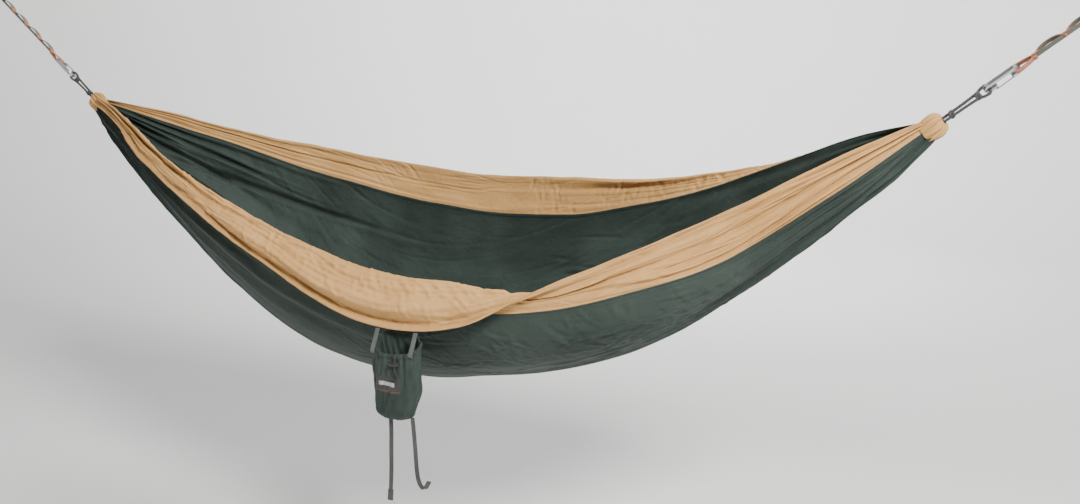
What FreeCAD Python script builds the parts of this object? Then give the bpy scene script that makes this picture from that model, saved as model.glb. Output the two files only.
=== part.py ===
import FreeCAD, Part
import math
import os

# A gathered-end camping hammock on two short webbing straps.
#
# It is drawn in its own middle frame: X runs along the hammock, Y away from
# the side that carries the stuff sack, Z up, with the zero halfway between the
# two gathers. The finished solids are then moved so that the origin is the
# middle of the left strap's tree-end eye. Sizes are in millimetres.

V = FreeCAD.Vector

# ---- Hang -------------------------------------------------------------------
RIDGE = 2400.0            # straight distance from gather to gather
STRAP_ANGLE = 39.0        # of each strap above the horizontal, in degrees
EYE_REACH = 520.0         # from a gather to the middle of the tree-end eye
STRAP_TURN = 68.0         # of each rope, carabiner and strap about its own line

# ---- Fabric -----------------------------------------------------------------
FABRIC = 3.0              # nylon with its small wrinkles
SEAM_GAP = 1.5            # between two panels that are sewn together
TURNED_GAP = 3.6          # the same where one panel is turned down beside the other
GATHER_SETBACK = -36.0    # where the panels end, along the strap's line
FLARE_POWER = 2.2         # how the bed widens from the gathers to the middle
STEPS = 3                 # sections drawn from one station to the next

# The bed's lines at ten stations along it: each gives its height below the
# gathers, and its half width at the middle of the bed.
STATION_X = (-1000, -800, -550, -300, 0, 250, 430, 600, 800, 1000)
FAR_RIM_Z = (-45, -95, -145, -180, -205, -200, -195, -170, -128, -78)
FAR_SEAM_Z = (-80, -145, -225, -280, -315, -300, -265, -215, -137, -52)
BOTTOM_Z = (-185, -340, -525, -645, -685, -645, -600, -530, -390, -220)
NEAR_SEAM_Z = (-60, -155, -255, -350, -430, -450, -425, -380, -300, -160)
NEAR_CREST_Z = (-35, -115, -210, -290, -370, -380, -395, -335, -245, -120)
NEAR_RIM_Z = (-60, -165, -270, -375, -480, -465, -370, -290, -190, -80)
FAR_RIM_Y = (300, 300, 300, 300, 300, 300, 300, 310, 350, 390)
FAR_SEAM_Y = 290.0
BOTTOM_Y = -40.0
NEAR_SEAM_Y = (-275, -275, -275, -275, -275, -280, -290, -300, -300, -300)
NEAR_CREST_Y = (-295, -295, -295, -295, -295, -295, -290, -300, -300, -300)
NEAR_RIM_Y = (-335, -335, -335, -340, -345, -345, -310, -280, -270, -270)

# The same lines where the fabric meets the gathered hem: across (y), and
# square to the strap's line (n), at the left gather and at the right one.
END_FAR_RIM = ((8, 19), (17, 5))
END_FAR_SEAM = ((15, 7), (9, 18))
END_BOTTOM = ((0, -21), (0, -21))
END_NEAR_SEAM = ((-12, 2), (-12, 2))
END_NEAR_CREST = ((-17, 20), (-15, 11))
END_NEAR_RIM = ((-27, 5), (-12, 21))

# ---- Straps -----------------------------------------------------------------
WEB_WIDTH = 20.0
WEB = 2.0                 # webbing thickness
LAYER = WEB + 0.5         # from one sewn layer's middle to the next
TACKS = (204.0, 269.0, 334.0, 399.0, 464.0)   # bar tacks, along the strap
LOOP_BULGE = 10.0         # how far an empty loop stands off the strap
STRAP_START = 196.0
STRAP_END = 474.0
TACK_LENGTH = 5.0
TACK_THICK = 0.8
EYE_R = 15.0              # inside of the tree-end eye
EYE_LEG = 32.0            # from the middle of the eye to its lower end

# ---- Carabiner --------------------------------------------------------------
ROD = 8.0                 # in the carabiner's plane
ROD_DEPTH = 10.0          # square to it
CARABINER_LENGTH = 79.0
CARABINER_HALF = 15.0     # from its middle to the middle of each side's rod
CARABINER_FROM = 94.0     # its lower end, along the strap's line
GATE_WIRE = 2.8
PIN_CLEARANCE = 0.05

# ---- Suspension rope --------------------------------------------------------
ROPE = 6.5
ROPE_STRAND = 4.0         # half the distance between its two strands
ROPE_TURN_R = 7.6         # of each half of its turn round the carabiner's bar
KNOT_R = 10.0
KNOTS = (20.0, 80.0)      # knots, along the strap's line

# ---- Stuff sack -------------------------------------------------------------
SACK = V(95, -350, -487)  # middle of its hanging edge
SACK_A = 60.0             # half width
SACK_B = 26.0             # half depth
SACK_WALL = 2.0
SACK_DROP = 189.0         # from the hanging edge down to the base's seam
SACK_TAPER_FROM = 143.0
SACK_BASE_A = 50.0
SACK_BASE_DEPTH = 24.0
SACK_BASE_SHIFT = -8.0    # of the base's middle from the mouth's
MOUTH_BACK = 6.0          # the mouth's back edge below the hanging edge
MOUTH_FRONT = 50.0
HEM_DEPTH = 11.0
HEM = 2.6
LABEL = (-47.0, 24.0, 103.0, 142.0)    # from x, to x, from drop, to drop
TAB_X = 51.0              # hang tabs, each side of the sack's middle
TAB_FRONT = 21.5
TAB_WIDTH = 11.0
TAB = 1.6

# ---- Drawcord and its lock --------------------------------------------------
CORD = 2.4
CORD_X = 110.0
CORD_Y = -384.0
STRAND = 1.7              # half the distance between its two strands
LOCK_Z = -556.0
LOCK_R = 5.5
PLUNGER_R = 4.0
LOCK_FROM = -13.0         # ends of the lock's body about CORD_X
LOCK_TO = 7.0
CAVITY_FROM = -11.0
PLUNGER_FROM = -5.0
PLUNGER_TO = 12.0
PLUNGER_TRAVEL = 4.0

# ---- Compression straps -----------------------------------------------------
TAIL_WIDTH = 10.0
TAIL = 1.6

COS = math.cos(math.radians(STRAP_ANGLE))
SIN = math.sin(math.radians(STRAP_ANGLE))
ACROSS = V(-SIN, 0, COS)                      # square to the right strap, in its plane
GATHER = V(RIDGE / 2, 0, 0)
LEFT_EYE = V(-RIDGE / 2 - EYE_REACH * COS, 0, EYE_REACH * SIN)


def along(s, n=0.0, y=0.0):
    """A point by the right-hand strap's line: s along it from the gather, n across, y."""
    return GATHER + V(COS, 0, SIN) * s + ACROSS * n + V(0, y, 0)


def save(name, shape):
    """Move a finished solid or group so that the left eye is the origin, and write it."""
    placed = shape.copy()
    placed.translate(V(0, 0, 0) - LEFT_EYE)
    placed.exportStep("parts/" + name + ".step")
    print("%-28s volume %9.1f mm3  solids %d  valid %s" %
          (name, placed.Volume, len(placed.Solids), placed.isValid()))


def save_pair(name, shape):
    """Write a right-hand piece and its mirror image on the left."""
    save("right_" + name, shape)
    save("left_" + name, shape.mirror(V(0, 0, 0), V(1, 0, 0)))


def save_turned_pair(name, shape):
    """The same for a piece on the strap's line, which is turned about that line."""
    turned = shape.copy()
    turned.rotate(GATHER, V(COS, 0, SIN), STRAP_TURN)
    save_pair(name, turned)


# ---- Shared shapes ----------------------------------------------------------
def smooth(points, lofted=False):
    """A spline through the points. A loft's lines share their knots, and others keep their pace."""
    places = [0.0]
    for before, after in zip(points, points[1:]):
        places.append(places[-1] + (1.0 if lofted else (after - before).Length))
    spline = Part.BSplineCurve()
    spline.interpolate(Points=points, Parameters=[place / places[-1] for place in places])
    return spline


def offset_line(points, distance, side):
    """The points moved sideways in their plane; side turns a direction into that way."""
    moved = []
    for i, point in enumerate(points):
        before = points[max(i - 1, 0)]
        after = points[min(i + 1, len(points) - 1)]
        way = side(after - before)
        moved.append(point + way * (distance / way.Length))
    return moved


def strip_outline(points, thickness, side, lofted=False):
    """The closed outline of a thin strip about a smooth line of points."""
    one = smooth(offset_line(points, thickness / 2, side), lofted)
    other = smooth(offset_line(points, -thickness / 2, side), lofted)
    edges = [one.toShape(),
             Part.makeLine(one.EndPoint, other.EndPoint),
             other.toShape(),
             Part.makeLine(other.StartPoint, one.StartPoint)]
    return Part.Wire(Part.__sortEdges__(edges))


def ribbon(points, thickness, width, side, across):
    """A band of webbing: an outline in one plane, carried across it."""
    start = V(across).normalize() * (-width / 2)
    face = Part.Face(strip_outline([p + start for p in points], thickness, side))
    return face.extrude(V(across).normalize() * width)


def corner(before, point, after, radius):
    """Where an arc of that radius leaves and joins the two runs at a corner, and its middle."""
    back = (before - point).normalize()
    ahead = (after - point).normalize()
    half_turn = (math.pi - back.getAngle(ahead)) / 2
    reach = radius * math.tan(half_turn)
    centre_way = (back + ahead).normalize()
    centre = point + centre_way * (radius / math.cos(half_turn))
    return point + back * reach, centre - centre_way * radius, point + ahead * reach


def route(points, radii=None):
    """Straight runs joined by tangent arcs, each as large as its two runs allow."""
    edges = []
    used = []
    start = points[0]
    for i in range(1, len(points) - 1):
        runs = ((points[i] - points[i - 1]).Length, (points[i + 1] - points[i]).Length)
        turn = (points[i] - points[i - 1]).getAngle(points[i + 1] - points[i])
        radius = 0.45 * min(runs) / math.tan(turn / 2)
        if radii and radii[i - 1]:
            radius = radii[i - 1]
        used.append(round(radius, 1))
        enter, middle, leave = corner(points[i - 1], points[i], points[i + 1], radius)
        if (enter - start).Length > 0.01:
            edges.append(Part.LineSegment(start, enter).toShape())
        edges.append(Part.Arc(enter, middle, leave).toShape())
        start = leave
    edges.append(Part.LineSegment(start, points[-1]).toShape())
    return Part.Wire(edges), used


def tube(name, points, diameter, radii=None):
    """A round cord along a route."""
    wire, used = route(points, radii)
    first = (points[1] - points[0]).normalize()
    section = Part.Wire(Part.makeCircle(diameter / 2, points[0], first))
    solid = wire.makePipeShell([section], True, True)
    drawn = math.pi * diameter ** 2 / 4 * wire.Length
    print("%-28s length %.1f  radii %s  volume/drawn %.4f" %
          (name, wire.Length, used, solid.Volume / drawn))
    return solid


# ---- Bed --------------------------------------------------------------------
def flare(x):
    """Share of the full width that the bed has at a station."""
    return 1 - abs(x / (RIDGE / 2)) ** FLARE_POWER


def at_gather(hand, spot):
    """The place (across, square to the strap's line) where the fabric meets a gathered hem."""
    point = along(GATHER_SETBACK, spot[1], spot[0])
    return V(hand * point.x, point.y, point.z)


def bed_edge(half_widths, heights, left_end, right_end):
    """One of the bed's lines, as points from the left gather to the right one."""
    points = [at_gather(-1, left_end)]
    for x, half_width, height in zip(STATION_X, half_widths, heights):
        points.append(V(x, half_width * flare(x), height))
    return points + [at_gather(1, right_end)]


END_X = (GATHER + V(COS, 0, SIN) * GATHER_SETBACK).x
KNOT_X = (-END_X,) + STATION_X + (END_X,)


def slope(points, i):
    """How fast a line moves past its point i, per millimetre of X."""
    low = max(i - 1, 0)
    high = min(i + 1, len(points) - 1)
    return (points[high] - points[low]) * (1 / (KNOT_X[high] - KNOT_X[low]))


def glide(points, i, share):
    """A place on the smooth line through the points, a share of the way past point i."""
    if share == 0:
        return V(points[i])
    span = KNOT_X[i + 1] - KNOT_X[i]
    square = share * share
    cube = square * share
    return (points[i] * (2 * cube - 3 * square + 1)
            + slope(points, i) * (span * (cube - 2 * square + share))
            + points[i + 1] * (3 * square - 2 * cube)
            + slope(points, i + 1) * (span * (cube - square)))


def toward(a, b, distance):
    """The point that far from a on the way to b."""
    return a + (b - a).normalize() * distance


def quarter_sweep(seam, bottom, steps):
    """Points round a quarter of an ellipse, from a seam down to the bottom."""
    across = V(0, seam.y - bottom.y, 0)
    drop = seam - bottom - across
    points = []
    for i in range(steps):
        angle = math.pi / 2 * (1 - i / steps)
        points.append(bottom + across * math.sin(angle) + drop * (1 - math.cos(angle)))
    return points


def bed_line(near_seam, bottom, far_seam):
    """The centre panel's section: hanging from both seams, round at the bottom."""
    steps = 5
    near = quarter_sweep(near_seam, bottom, steps)
    far = quarter_sweep(far_seam, bottom, steps)
    return near + [bottom] + far[::-1]


def near_line(seam, crest, rim):
    """The near side panel's section, folded over its crest on the sack's side."""
    rise = (seam + crest) * 0.5
    fall = (crest + rim) * 0.5
    bulge = 0.12 * (crest - rim).Length
    return [toward(seam, crest, SEAM_GAP), rise, crest, fall - V(0, bulge, 0), rim]


def far_line(seam, rim):
    """The far side panel's section: upright, or turned down outside the centre panel."""
    droop = min(max((seam.z - rim.z + 12) / 12, 0), 1)
    start = toward(seam, rim, SEAM_GAP * (1 - droop)) + V(0, TURNED_GAP * droop, 0)
    middle = (seam + rim) * 0.5 + V(0, 4, 0)
    return [start, middle, rim]


def panel(line, edges):
    """A panel lofted from one gather to the other; line makes each section from its edges."""
    last = len(KNOT_X) - 1
    sections = []
    for step in range(last * STEPS + 1):
        i, part = divmod(step, STEPS)
        middle = abs(2 * step / (last * STEPS) - 1)
        lean = max(0.0, (middle - 1) * last / 2 + 1)
        facing = V(1, 0, 0) + V(COS - 1, 0, SIN if 2 * i >= last else -SIN) * lean
        spots = [glide(edge, i, part / STEPS) for edge in edges]
        sections.append(strip_outline(line(*spots), FABRIC, lambda way: way.cross(facing), True))
    return Part.makeLoft(sections, True, False)


def centre_panel():
    return panel(bed_line, [NEAR_SEAM, BOTTOM, FAR_SEAM])


def near_side_panel():
    return panel(near_line, [NEAR_SEAM, NEAR_CREST, NEAR_RIM])


def far_side_panel():
    return panel(far_line, [FAR_SEAM, FAR_RIM])


def every(value):
    """The same half width at every station."""
    return [value] * len(STATION_X)


FAR_RIM = bed_edge(FAR_RIM_Y, FAR_RIM_Z, *END_FAR_RIM)
FAR_SEAM = bed_edge(every(FAR_SEAM_Y), FAR_SEAM_Z, *END_FAR_SEAM)
BOTTOM = bed_edge(every(BOTTOM_Y), BOTTOM_Z, *END_BOTTOM)
NEAR_SEAM = bed_edge(NEAR_SEAM_Y, NEAR_SEAM_Z, *END_NEAR_SEAM)
NEAR_CREST = bed_edge(NEAR_CREST_Y, NEAR_CREST_Z, *END_NEAR_CREST)
NEAR_RIM = bed_edge(NEAR_RIM_Y, NEAR_RIM_Z, *END_NEAR_RIM)


def gathered_hem():
    """The bunched end channel: a short mushroom about the strap's line."""
    profile = [(-35, 0), (-35, 19), (-22, 24), (-8, 19.5), (0, 8), (0, 0)]
    curve = smooth([along(s, r) for s, r in profile[1:5]])
    edges = [Part.makeLine(along(*profile[0]), along(*profile[1])),
             curve.toShape(),
             Part.makeLine(along(*profile[4]), along(*profile[5])),
             Part.makeLine(along(*profile[5]), along(*profile[0]))]
    face = Part.Face(Part.Wire(edges))
    return face.revolve(GATHER, V(COS, 0, SIN), 360)


# ---- Suspension rope --------------------------------------------------------
def suspension_rope():
    """One rope: up from the gather, round the carabiner and back, knotted twice."""
    bar = CARABINER_FROM + ROD / 2
    turn = ROD_DEPTH / 2 + ROPE / 2 + 0.75
    top = bar + turn
    part = KNOTS[1] - 4
    beside = CARABINER_FROM - 4
    points = [along(0.5, 0, -ROPE_STRAND), along(part, 0, -ROPE_STRAND),
              along(beside, 0, -turn), along(top, 0, -turn),
              along(top, 0, turn), along(beside, 0, turn),
              along(part, 0, ROPE_STRAND), along(0.5, 0, ROPE_STRAND)]
    radii = [None, None, ROPE_TURN_R, ROPE_TURN_R, None, None]
    strands = tube("suspension_rope", points, ROPE, radii)
    for s in KNOTS:
        strands = strands.fuse(Part.makeSphere(KNOT_R, along(s)))
    return strands.removeSplitter()


# ---- Carabiner --------------------------------------------------------------
def in_carabiner(p, q, y=0.0):
    """A point of the carabiner: p across its plane, q along it from its middle."""
    return along(CARABINER_FROM + CARABINER_LENGTH / 2 + q, p, y)


HEEL = (3.5 - CARABINER_HALF, -18.0)        # gate pivot
NOSE = (-CARABINER_HALF, 17.0)              # end of the body's open side
HALF = CARABINER_LENGTH / 2 - ROD / 2


def carabiner_body():
    """A bent rod, open on one side where the wire gate closes it."""
    corners = [in_carabiner(*NOSE),
               in_carabiner(-CARABINER_HALF, HALF),
               in_carabiner(CARABINER_HALF, HALF),
               in_carabiner(CARABINER_HALF, -HALF),
               in_carabiner(6 - CARABINER_HALF, -HALF),
               in_carabiner(HEEL[0], HEEL[1] + 4)]
    wire, _ = route(corners, [9.0, 9.0, 12.0, 9.0])
    first = corners[1] - corners[0]
    side = V(first).cross(V(0, 1, 0)).normalize()
    outline = []
    for a, b in ((-1, -0.6), (-1, 0.6), (-0.5, 1), (0.5, 1), (1, 0.6), (1, -0.6), (0.5, -1), (-0.5, -1)):
        outline.append(corners[0] + side * (a * ROD / 2) + V(0, b * ROD_DEPTH / 2, 0))
    section = Part.makePolygon(outline + [outline[0]])
    body = wire.makePipeShell([section], True, True)
    pin = Part.makeCylinder(GATE_WIRE / 2 + PIN_CLEARANCE, ROD_DEPTH + 2,
                            in_carabiner(*HEEL, -ROD_DEPTH / 2 - 1), V(0, 1, 0))
    return body.cut(pin)


def carabiner_gate():
    """A wire bent to a long U, its feet in the heel and its end bar inside the nose."""
    leg = ROD_DEPTH / 2 + GATE_WIRE / 2 + 0.3
    bar_p = NOSE[0] + ROD / 2 + GATE_WIRE / 2 + 0.3
    bar_q = NOSE[1] + 4
    points = [in_carabiner(*HEEL, 0.3), in_carabiner(*HEEL, leg),
              in_carabiner(bar_p, bar_q, leg), in_carabiner(bar_p, bar_q, -leg),
              in_carabiner(*HEEL, -leg), in_carabiner(*HEEL, -0.3)]
    bend = 1.6
    return tube("carabiner_gate", points, GATE_WIRE, [bend, 2 * bend, 2 * bend, bend])


# ---- Straps -----------------------------------------------------------------
def turned(way):
    """Sideways for a line that lies in the plane of the strap's line and Y."""
    return way.cross(ACROSS)


def strap_ribbon(line):
    """A band of strap webbing about points (s, y)."""
    return ribbon([along(s, 0, y) for s, y in line], WEB, WEB_WIDTH, turned, ACROSS)


def strap_webbing():
    count = 8
    step = (STRAP_END - STRAP_START) / count
    return strap_ribbon([(STRAP_START + i * step, 0.0) for i in range(count + 1)])


def loop_line():
    """The loop layer: round the carabiner's upper bar, then standing off between tacks."""
    bar = CARABINER_FROM + CARABINER_LENGTH - ROD / 2
    leg = ROD_DEPTH / 2 + WEB / 2 + 0.4
    under = bar - ROD / 2 - 4.8
    first = TACKS[0]
    line = [(first + 4, -LAYER), (first, -LAYER), (first - 4, -LAYER), (first - 14, -4.4),
            (bar + 2, -leg), (bar - 4, -leg)]
    for angle in (150, 120, 90, 60, 30):
        turn = math.radians(angle)
        line.append((bar - 5 - (bar - 5 - under) * math.sin(turn), leg * math.cos(turn)))
    line += [(bar - 4, leg), (bar + 2, leg), (first - 14, 4.4), (first - 4, LAYER),
             (first, LAYER), (first + 4, LAYER)]
    for low, high in zip(TACKS, TACKS[1:]):
        span = high - low - 8
        for share in (0.12, 0.3, 0.5, 0.7, 0.88):
            lift = math.sin(math.pi * share) ** 0.7
            line.append((low + 4 + span * share, LAYER + (LOOP_BULGE - LAYER) * lift))
        line += [(high - 4, LAYER), (high, LAYER), (high + 4, LAYER)]
    return line


def strap_tacks():
    """Thread bar tacks, one on each face of the strap at every tack."""
    pads = []
    outer = LAYER + WEB / 2 + TACK_THICK / 2 + 0.2
    for s in TACKS:
        for y in (-outer if s == TACKS[0] else -WEB / 2 - TACK_THICK / 2 - 0.05, outer):
            pads.append(tack(s, y))
    return Part.makeCompound(pads)


def tack(s, y):
    """One block of bar-tack thread, its middle at s and y."""
    corner_point = along(s - TACK_LENGTH / 2, -WEB_WIDTH / 2 + 1, y - TACK_THICK / 2)
    base = Part.makePolygon([corner_point,
                             corner_point + V(COS, 0, SIN) * TACK_LENGTH,
                             corner_point + V(COS, 0, SIN) * TACK_LENGTH + V(0, TACK_THICK, 0),
                             corner_point + V(0, TACK_THICK, 0),
                             corner_point])
    return Part.Face(base).extrude(ACROSS * (WEB_WIDTH - 2))


def strap_eye():
    """The strap's tree end: a round eye with two legs that meet below it."""
    inner = Part.makeCylinder(EYE_R, WEB_WIDTH + 2, along(EYE_REACH, -WEB_WIDTH / 2 - 1), ACROSS)
    outer = Part.makeCylinder(EYE_R + WEB, WEB_WIDTH, along(EYE_REACH, -WEB_WIDTH / 2), ACROSS)
    ring_r = EYE_R + WEB
    leg = LAYER / 2 + WEB / 2
    reach = 1.32 * ring_r
    half = math.acos((ring_r - leg) / reach)
    touch = (EYE_REACH - ring_r * math.cos(half), ring_r * math.sin(half))
    neck = EYE_REACH - reach
    end = EYE_REACH - EYE_LEG
    web = [(touch[0], touch[1]), (neck, leg), (end, leg), (end, -leg), (neck, -leg),
           (touch[0], -touch[1]), (touch[0], touch[1])]
    start = ACROSS * (-WEB_WIDTH / 2)
    legs = Part.Face(Part.makePolygon([along(s, 0, y) + start for s, y in web]))
    whole = outer.fuse(legs.extrude(ACROSS * WEB_WIDTH))
    return whole.cut(inner).removeSplitter()


def eye_tack():
    """The bar tack on both faces of the eye's neck."""
    y = LAYER / 2 + WEB / 2 + TACK_THICK / 2 + 0.05
    s = EYE_REACH - EYE_LEG + 4
    return Part.makeCompound([tack(s, -y), tack(s, y)])


# ---- Stuff sack -------------------------------------------------------------
def ellipse_wire(a, b, drop, shift=0.0):
    """A level ellipse, drop below the sack's hanging edge."""
    centre = SACK + V(shift, 0, -drop)
    return Part.Wire(Part.Ellipse(centre + V(a, 0, 0), centre + V(0, b, 0), centre).toShape())


def slanted_block(below_back, below_front):
    """Everything under a plane that slopes from the mouth's back edge to its front."""
    far = 120.0
    slope = (below_front - below_back) / (2 * SACK_B)
    back = SACK + V(-far, SACK_B + far, -below_back + slope * far)
    front = SACK + V(-far, -SACK_B - far, -below_front - slope * far)
    low = SACK.z - 400
    outline = Part.makePolygon([back, front, V(front.x, front.y, low), V(back.x, back.y, low), back])
    return Part.Face(outline).extrude(V(2 * far, 0, 0))


def sack_tube(inset):
    """The sack's side as a solid, inset from its outer face."""
    a = SACK_A - inset
    b = SACK_B - inset
    upper = Part.Face(ellipse_wire(a, b, 0)).extrude(V(0, 0, -SACK_TAPER_FROM))
    lower = Part.makeLoft([ellipse_wire(a, b, SACK_TAPER_FROM),
                           ellipse_wire(SACK_BASE_A - inset, b, SACK_DROP, SACK_BASE_SHIFT)], True, True)
    return upper.fuse(lower)


def sack_shell():
    wall = sack_tube(0).cut(sack_tube(SACK_WALL))
    return wall.common(slanted_block(MOUTH_BACK, MOUTH_FRONT)).removeSplitter()


def sack_base():
    """A round base panel, bellied down."""
    centre = SACK + V(SACK_BASE_SHIFT, 0, -SACK_DROP - 0.5)

    def dome(inset):
        ball = Part.makeSphere(1.0)
        stretch = FreeCAD.Matrix()
        stretch.scale(SACK_BASE_A - inset, SACK_B - inset, SACK_BASE_DEPTH - inset)
        shaped = ball.transformGeometry(stretch)
        shaped.translate(centre)
        return shaped

    lower = Part.makeBox(200, 200, 100, centre + V(-100, -100, -100))
    return dome(0).cut(dome(SACK_WALL)).common(lower)


def sack_mouth_hem():
    """The folded channel round the mouth, on the outside of the shell."""
    ring = Part.Face(ellipse_wire(SACK_A + HEM, SACK_B + HEM, 0)).extrude(V(0, 0, -120))
    hollow = Part.Face(ellipse_wire(SACK_A + 0.2, SACK_B + 0.2, 0)).extrude(V(0, 0, -120))
    band = ring.cut(hollow).common(slanted_block(MOUTH_BACK, MOUTH_FRONT))
    return band.cut(slanted_block(MOUTH_BACK + HEM_DEPTH, MOUTH_FRONT + HEM_DEPTH))


def sack_label():
    """A woven label, curved to the sack's front."""
    from_x, to_x, top, bottom = LABEL
    height = V(0, 0, top - bottom)
    ring = Part.Face(ellipse_wire(SACK_A + 0.9, SACK_B + 0.9, top)).extrude(height)
    hollow = Part.Face(ellipse_wire(SACK_A + 0.1, SACK_B + 0.1, top)).extrude(height)
    window = Part.makeBox(to_x - from_x, 60, bottom - top, SACK + V(from_x, -60, -bottom))
    return ring.cut(hollow).common(window)


def sack_hang_tabs():
    """Two short webbing tabs from the hammock's rim down to the hem, one near each end."""
    low = MOUTH_BACK + (MOUTH_FRONT - MOUTH_BACK) * 0.86
    line = [(0, 2), (-6, 14), (-14, low * 0.66), (-TAB_FRONT, low), (-TAB_FRONT, low + 8)]
    tabs = []
    for x in (-TAB_X, TAB_X):
        points = [SACK + V(x, y, -drop) for y, drop in line]
        tabs.append(ribbon(points, TAB, TAB_WIDTH, lambda way: way.cross(V(1, 0, 0)), V(1, 0, 0)))
    return Part.makeCompound(tabs)


def sack_drawcord():
    """Out of the front of the hem, down through the lock and round in a small loop."""
    front = SACK.y - SACK_B - HEM
    bottom = LOCK_Z - 36
    half = 7.5
    points = [V(CORD_X - STRAND, front, -541), V(CORD_X - STRAND, CORD_Y, -543),
              V(CORD_X - STRAND, CORD_Y, -577), V(CORD_X - half, CORD_Y, -583),
              V(CORD_X - half, CORD_Y, bottom), V(CORD_X + half, CORD_Y, bottom),
              V(CORD_X + half, CORD_Y, -583), V(CORD_X + STRAND, CORD_Y, -577),
              V(CORD_X + STRAND, CORD_Y, -543), V(CORD_X + STRAND, front, -541)]
    return tube("sack_drawcord", points, CORD)


# ---- Cord lock --------------------------------------------------------------
def lock_rod(r, start, end):
    """A round bar along the lock's axis, from start to end about the cord."""
    return Part.makeCylinder(r, end - start, V(CORD_X + start, CORD_Y, LOCK_Z), V(1, 0, 0))


def lock_slot(start, end):
    """The upright slot that the two strands run through."""
    half = CORD / 2 + 0.5
    return Part.makeBox(end - start, 2 * half, 40, V(CORD_X + start, CORD_Y - half, LOCK_Z - 20))


def cord_lock_body():
    barrel = lock_rod(LOCK_R, LOCK_FROM, LOCK_TO)
    barrel = barrel.makeFillet(1.2, [e for e in barrel.Edges if e.Closed])
    hollow = lock_rod(PLUNGER_R + 0.05, CAVITY_FROM, LOCK_TO + 1)
    return barrel.cut(hollow).cut(lock_slot(-3.4, 3.4))


def cord_lock_button():
    plunger = lock_rod(PLUNGER_R, PLUNGER_FROM, PLUNGER_TO)
    rim = [e for e in plunger.Edges if e.Closed and e.CenterOfMass.x > CORD_X + PLUNGER_TO - 1]
    plunger = plunger.makeFillet(1.5, rim)
    return plunger.cut(lock_slot(-3.4, 3.4 + PLUNGER_TRAVEL))


def cord_lock_spring():
    """A compression spring between the plunger and the floor of the lock's bore."""
    wire_r = 0.35
    coil_r = 2.9
    height = PLUNGER_FROM - CAVITY_FROM - 2 * wire_r - 0.2
    helix = Part.makeHelix(height / 4, height, coil_r)
    section = Part.Wire(Part.makeCircle(wire_r, V(coil_r, 0, 0), V(0, 1, 0)))
    coil = Part.Wire(helix).makePipeShell([section], True, True)
    coil.rotate(V(0, 0, 0), V(0, 1, 0), 90)
    coil.translate(V(CORD_X + CAVITY_FROM + wire_r + 0.1, CORD_Y, LOCK_Z))
    return coil


# ---- Compression straps -----------------------------------------------------
def level_side(way):
    """Sideways for a line in the upright plane along the hammock."""
    return way.cross(V(0, 1, 0))


def hanging_strap(line, end_width):
    """A narrow strap about points (x, z), with its last stretch folded double and sewn."""
    y = SACK.y
    points = [V(x, y, z) for x, z in line]
    band = ribbon(points, TAIL_WIDTH, TAIL, level_side, V(0, 1, 0))
    doubled = ribbon(points[-3:], end_width, 3.6, level_side, V(0, 1, 0))
    return band.fuse(doubled).removeSplitter()


def left_compression_strap():
    return hanging_strap([(74, -700.5), (74.5, -735), (72.5, -775), (72, -815), (70, -850),
                          (68.5, -872), (67.5, -888), (66, -904)], 14.0)


def right_compression_strap():
    return hanging_strap([(133, -690), (136, -722), (138.5, -760), (140.5, -800), (143, -832),
                          (149, -850), (159, -860), (168, -852), (174, -838)], 11.0)


os.makedirs("parts", exist_ok=True)
save("centre_panel", centre_panel())
save("near_side_panel", near_side_panel())
save("far_side_panel", far_side_panel())
save_pair("gathered_hem", gathered_hem())
save_turned_pair("suspension_rope", suspension_rope())
save_turned_pair("carabiner_body", carabiner_body())
save_turned_pair("carabiner_gate", carabiner_gate())
save_turned_pair("strap_webbing", strap_webbing())
save_turned_pair("strap_loops", strap_ribbon(loop_line()))
save_turned_pair("strap_tacks", strap_tacks())
save_turned_pair("strap_eye", strap_eye())
save_turned_pair("eye_tack", eye_tack())
save("sack_shell", sack_shell())
save("sack_base", sack_base())
save("sack_mouth_hem", sack_mouth_hem())
save("sack_label", sack_label())
save("sack_hang_tabs", sack_hang_tabs())
save("sack_drawcord", sack_drawcord())
save("cord_lock_body", cord_lock_body())
save("cord_lock_button", cord_lock_button())
save("cord_lock_spring", cord_lock_spring())
save("left_compression_strap", left_compression_strap())
save("right_compression_strap", right_compression_strap())
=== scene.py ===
import contextlib
import math
import bmesh
import bpy
import numpy as np
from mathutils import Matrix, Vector


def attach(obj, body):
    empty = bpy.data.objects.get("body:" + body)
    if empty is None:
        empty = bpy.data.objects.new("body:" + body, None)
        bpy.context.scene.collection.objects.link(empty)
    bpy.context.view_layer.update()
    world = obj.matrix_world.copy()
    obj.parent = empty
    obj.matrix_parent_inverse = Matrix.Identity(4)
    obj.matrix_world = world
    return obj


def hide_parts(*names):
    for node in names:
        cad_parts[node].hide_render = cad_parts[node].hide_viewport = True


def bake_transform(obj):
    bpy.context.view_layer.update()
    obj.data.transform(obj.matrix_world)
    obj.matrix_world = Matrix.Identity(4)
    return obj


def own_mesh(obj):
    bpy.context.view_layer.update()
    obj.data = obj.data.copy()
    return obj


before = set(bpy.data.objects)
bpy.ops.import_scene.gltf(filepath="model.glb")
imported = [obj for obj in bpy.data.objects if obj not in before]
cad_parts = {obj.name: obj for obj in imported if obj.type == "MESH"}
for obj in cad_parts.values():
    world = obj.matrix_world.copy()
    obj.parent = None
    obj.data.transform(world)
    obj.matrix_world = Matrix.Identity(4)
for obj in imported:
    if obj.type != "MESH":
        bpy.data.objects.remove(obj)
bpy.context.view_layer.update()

# A gathered-end camping hammock: two-colour nylon bed, rope and carabiner at each
# end, webbing straps with loops, and a stuff sack hanging from the near rim.
# Sizes are in metres. The bed is drawn about MIDDLE, halfway between its gathers.

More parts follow.
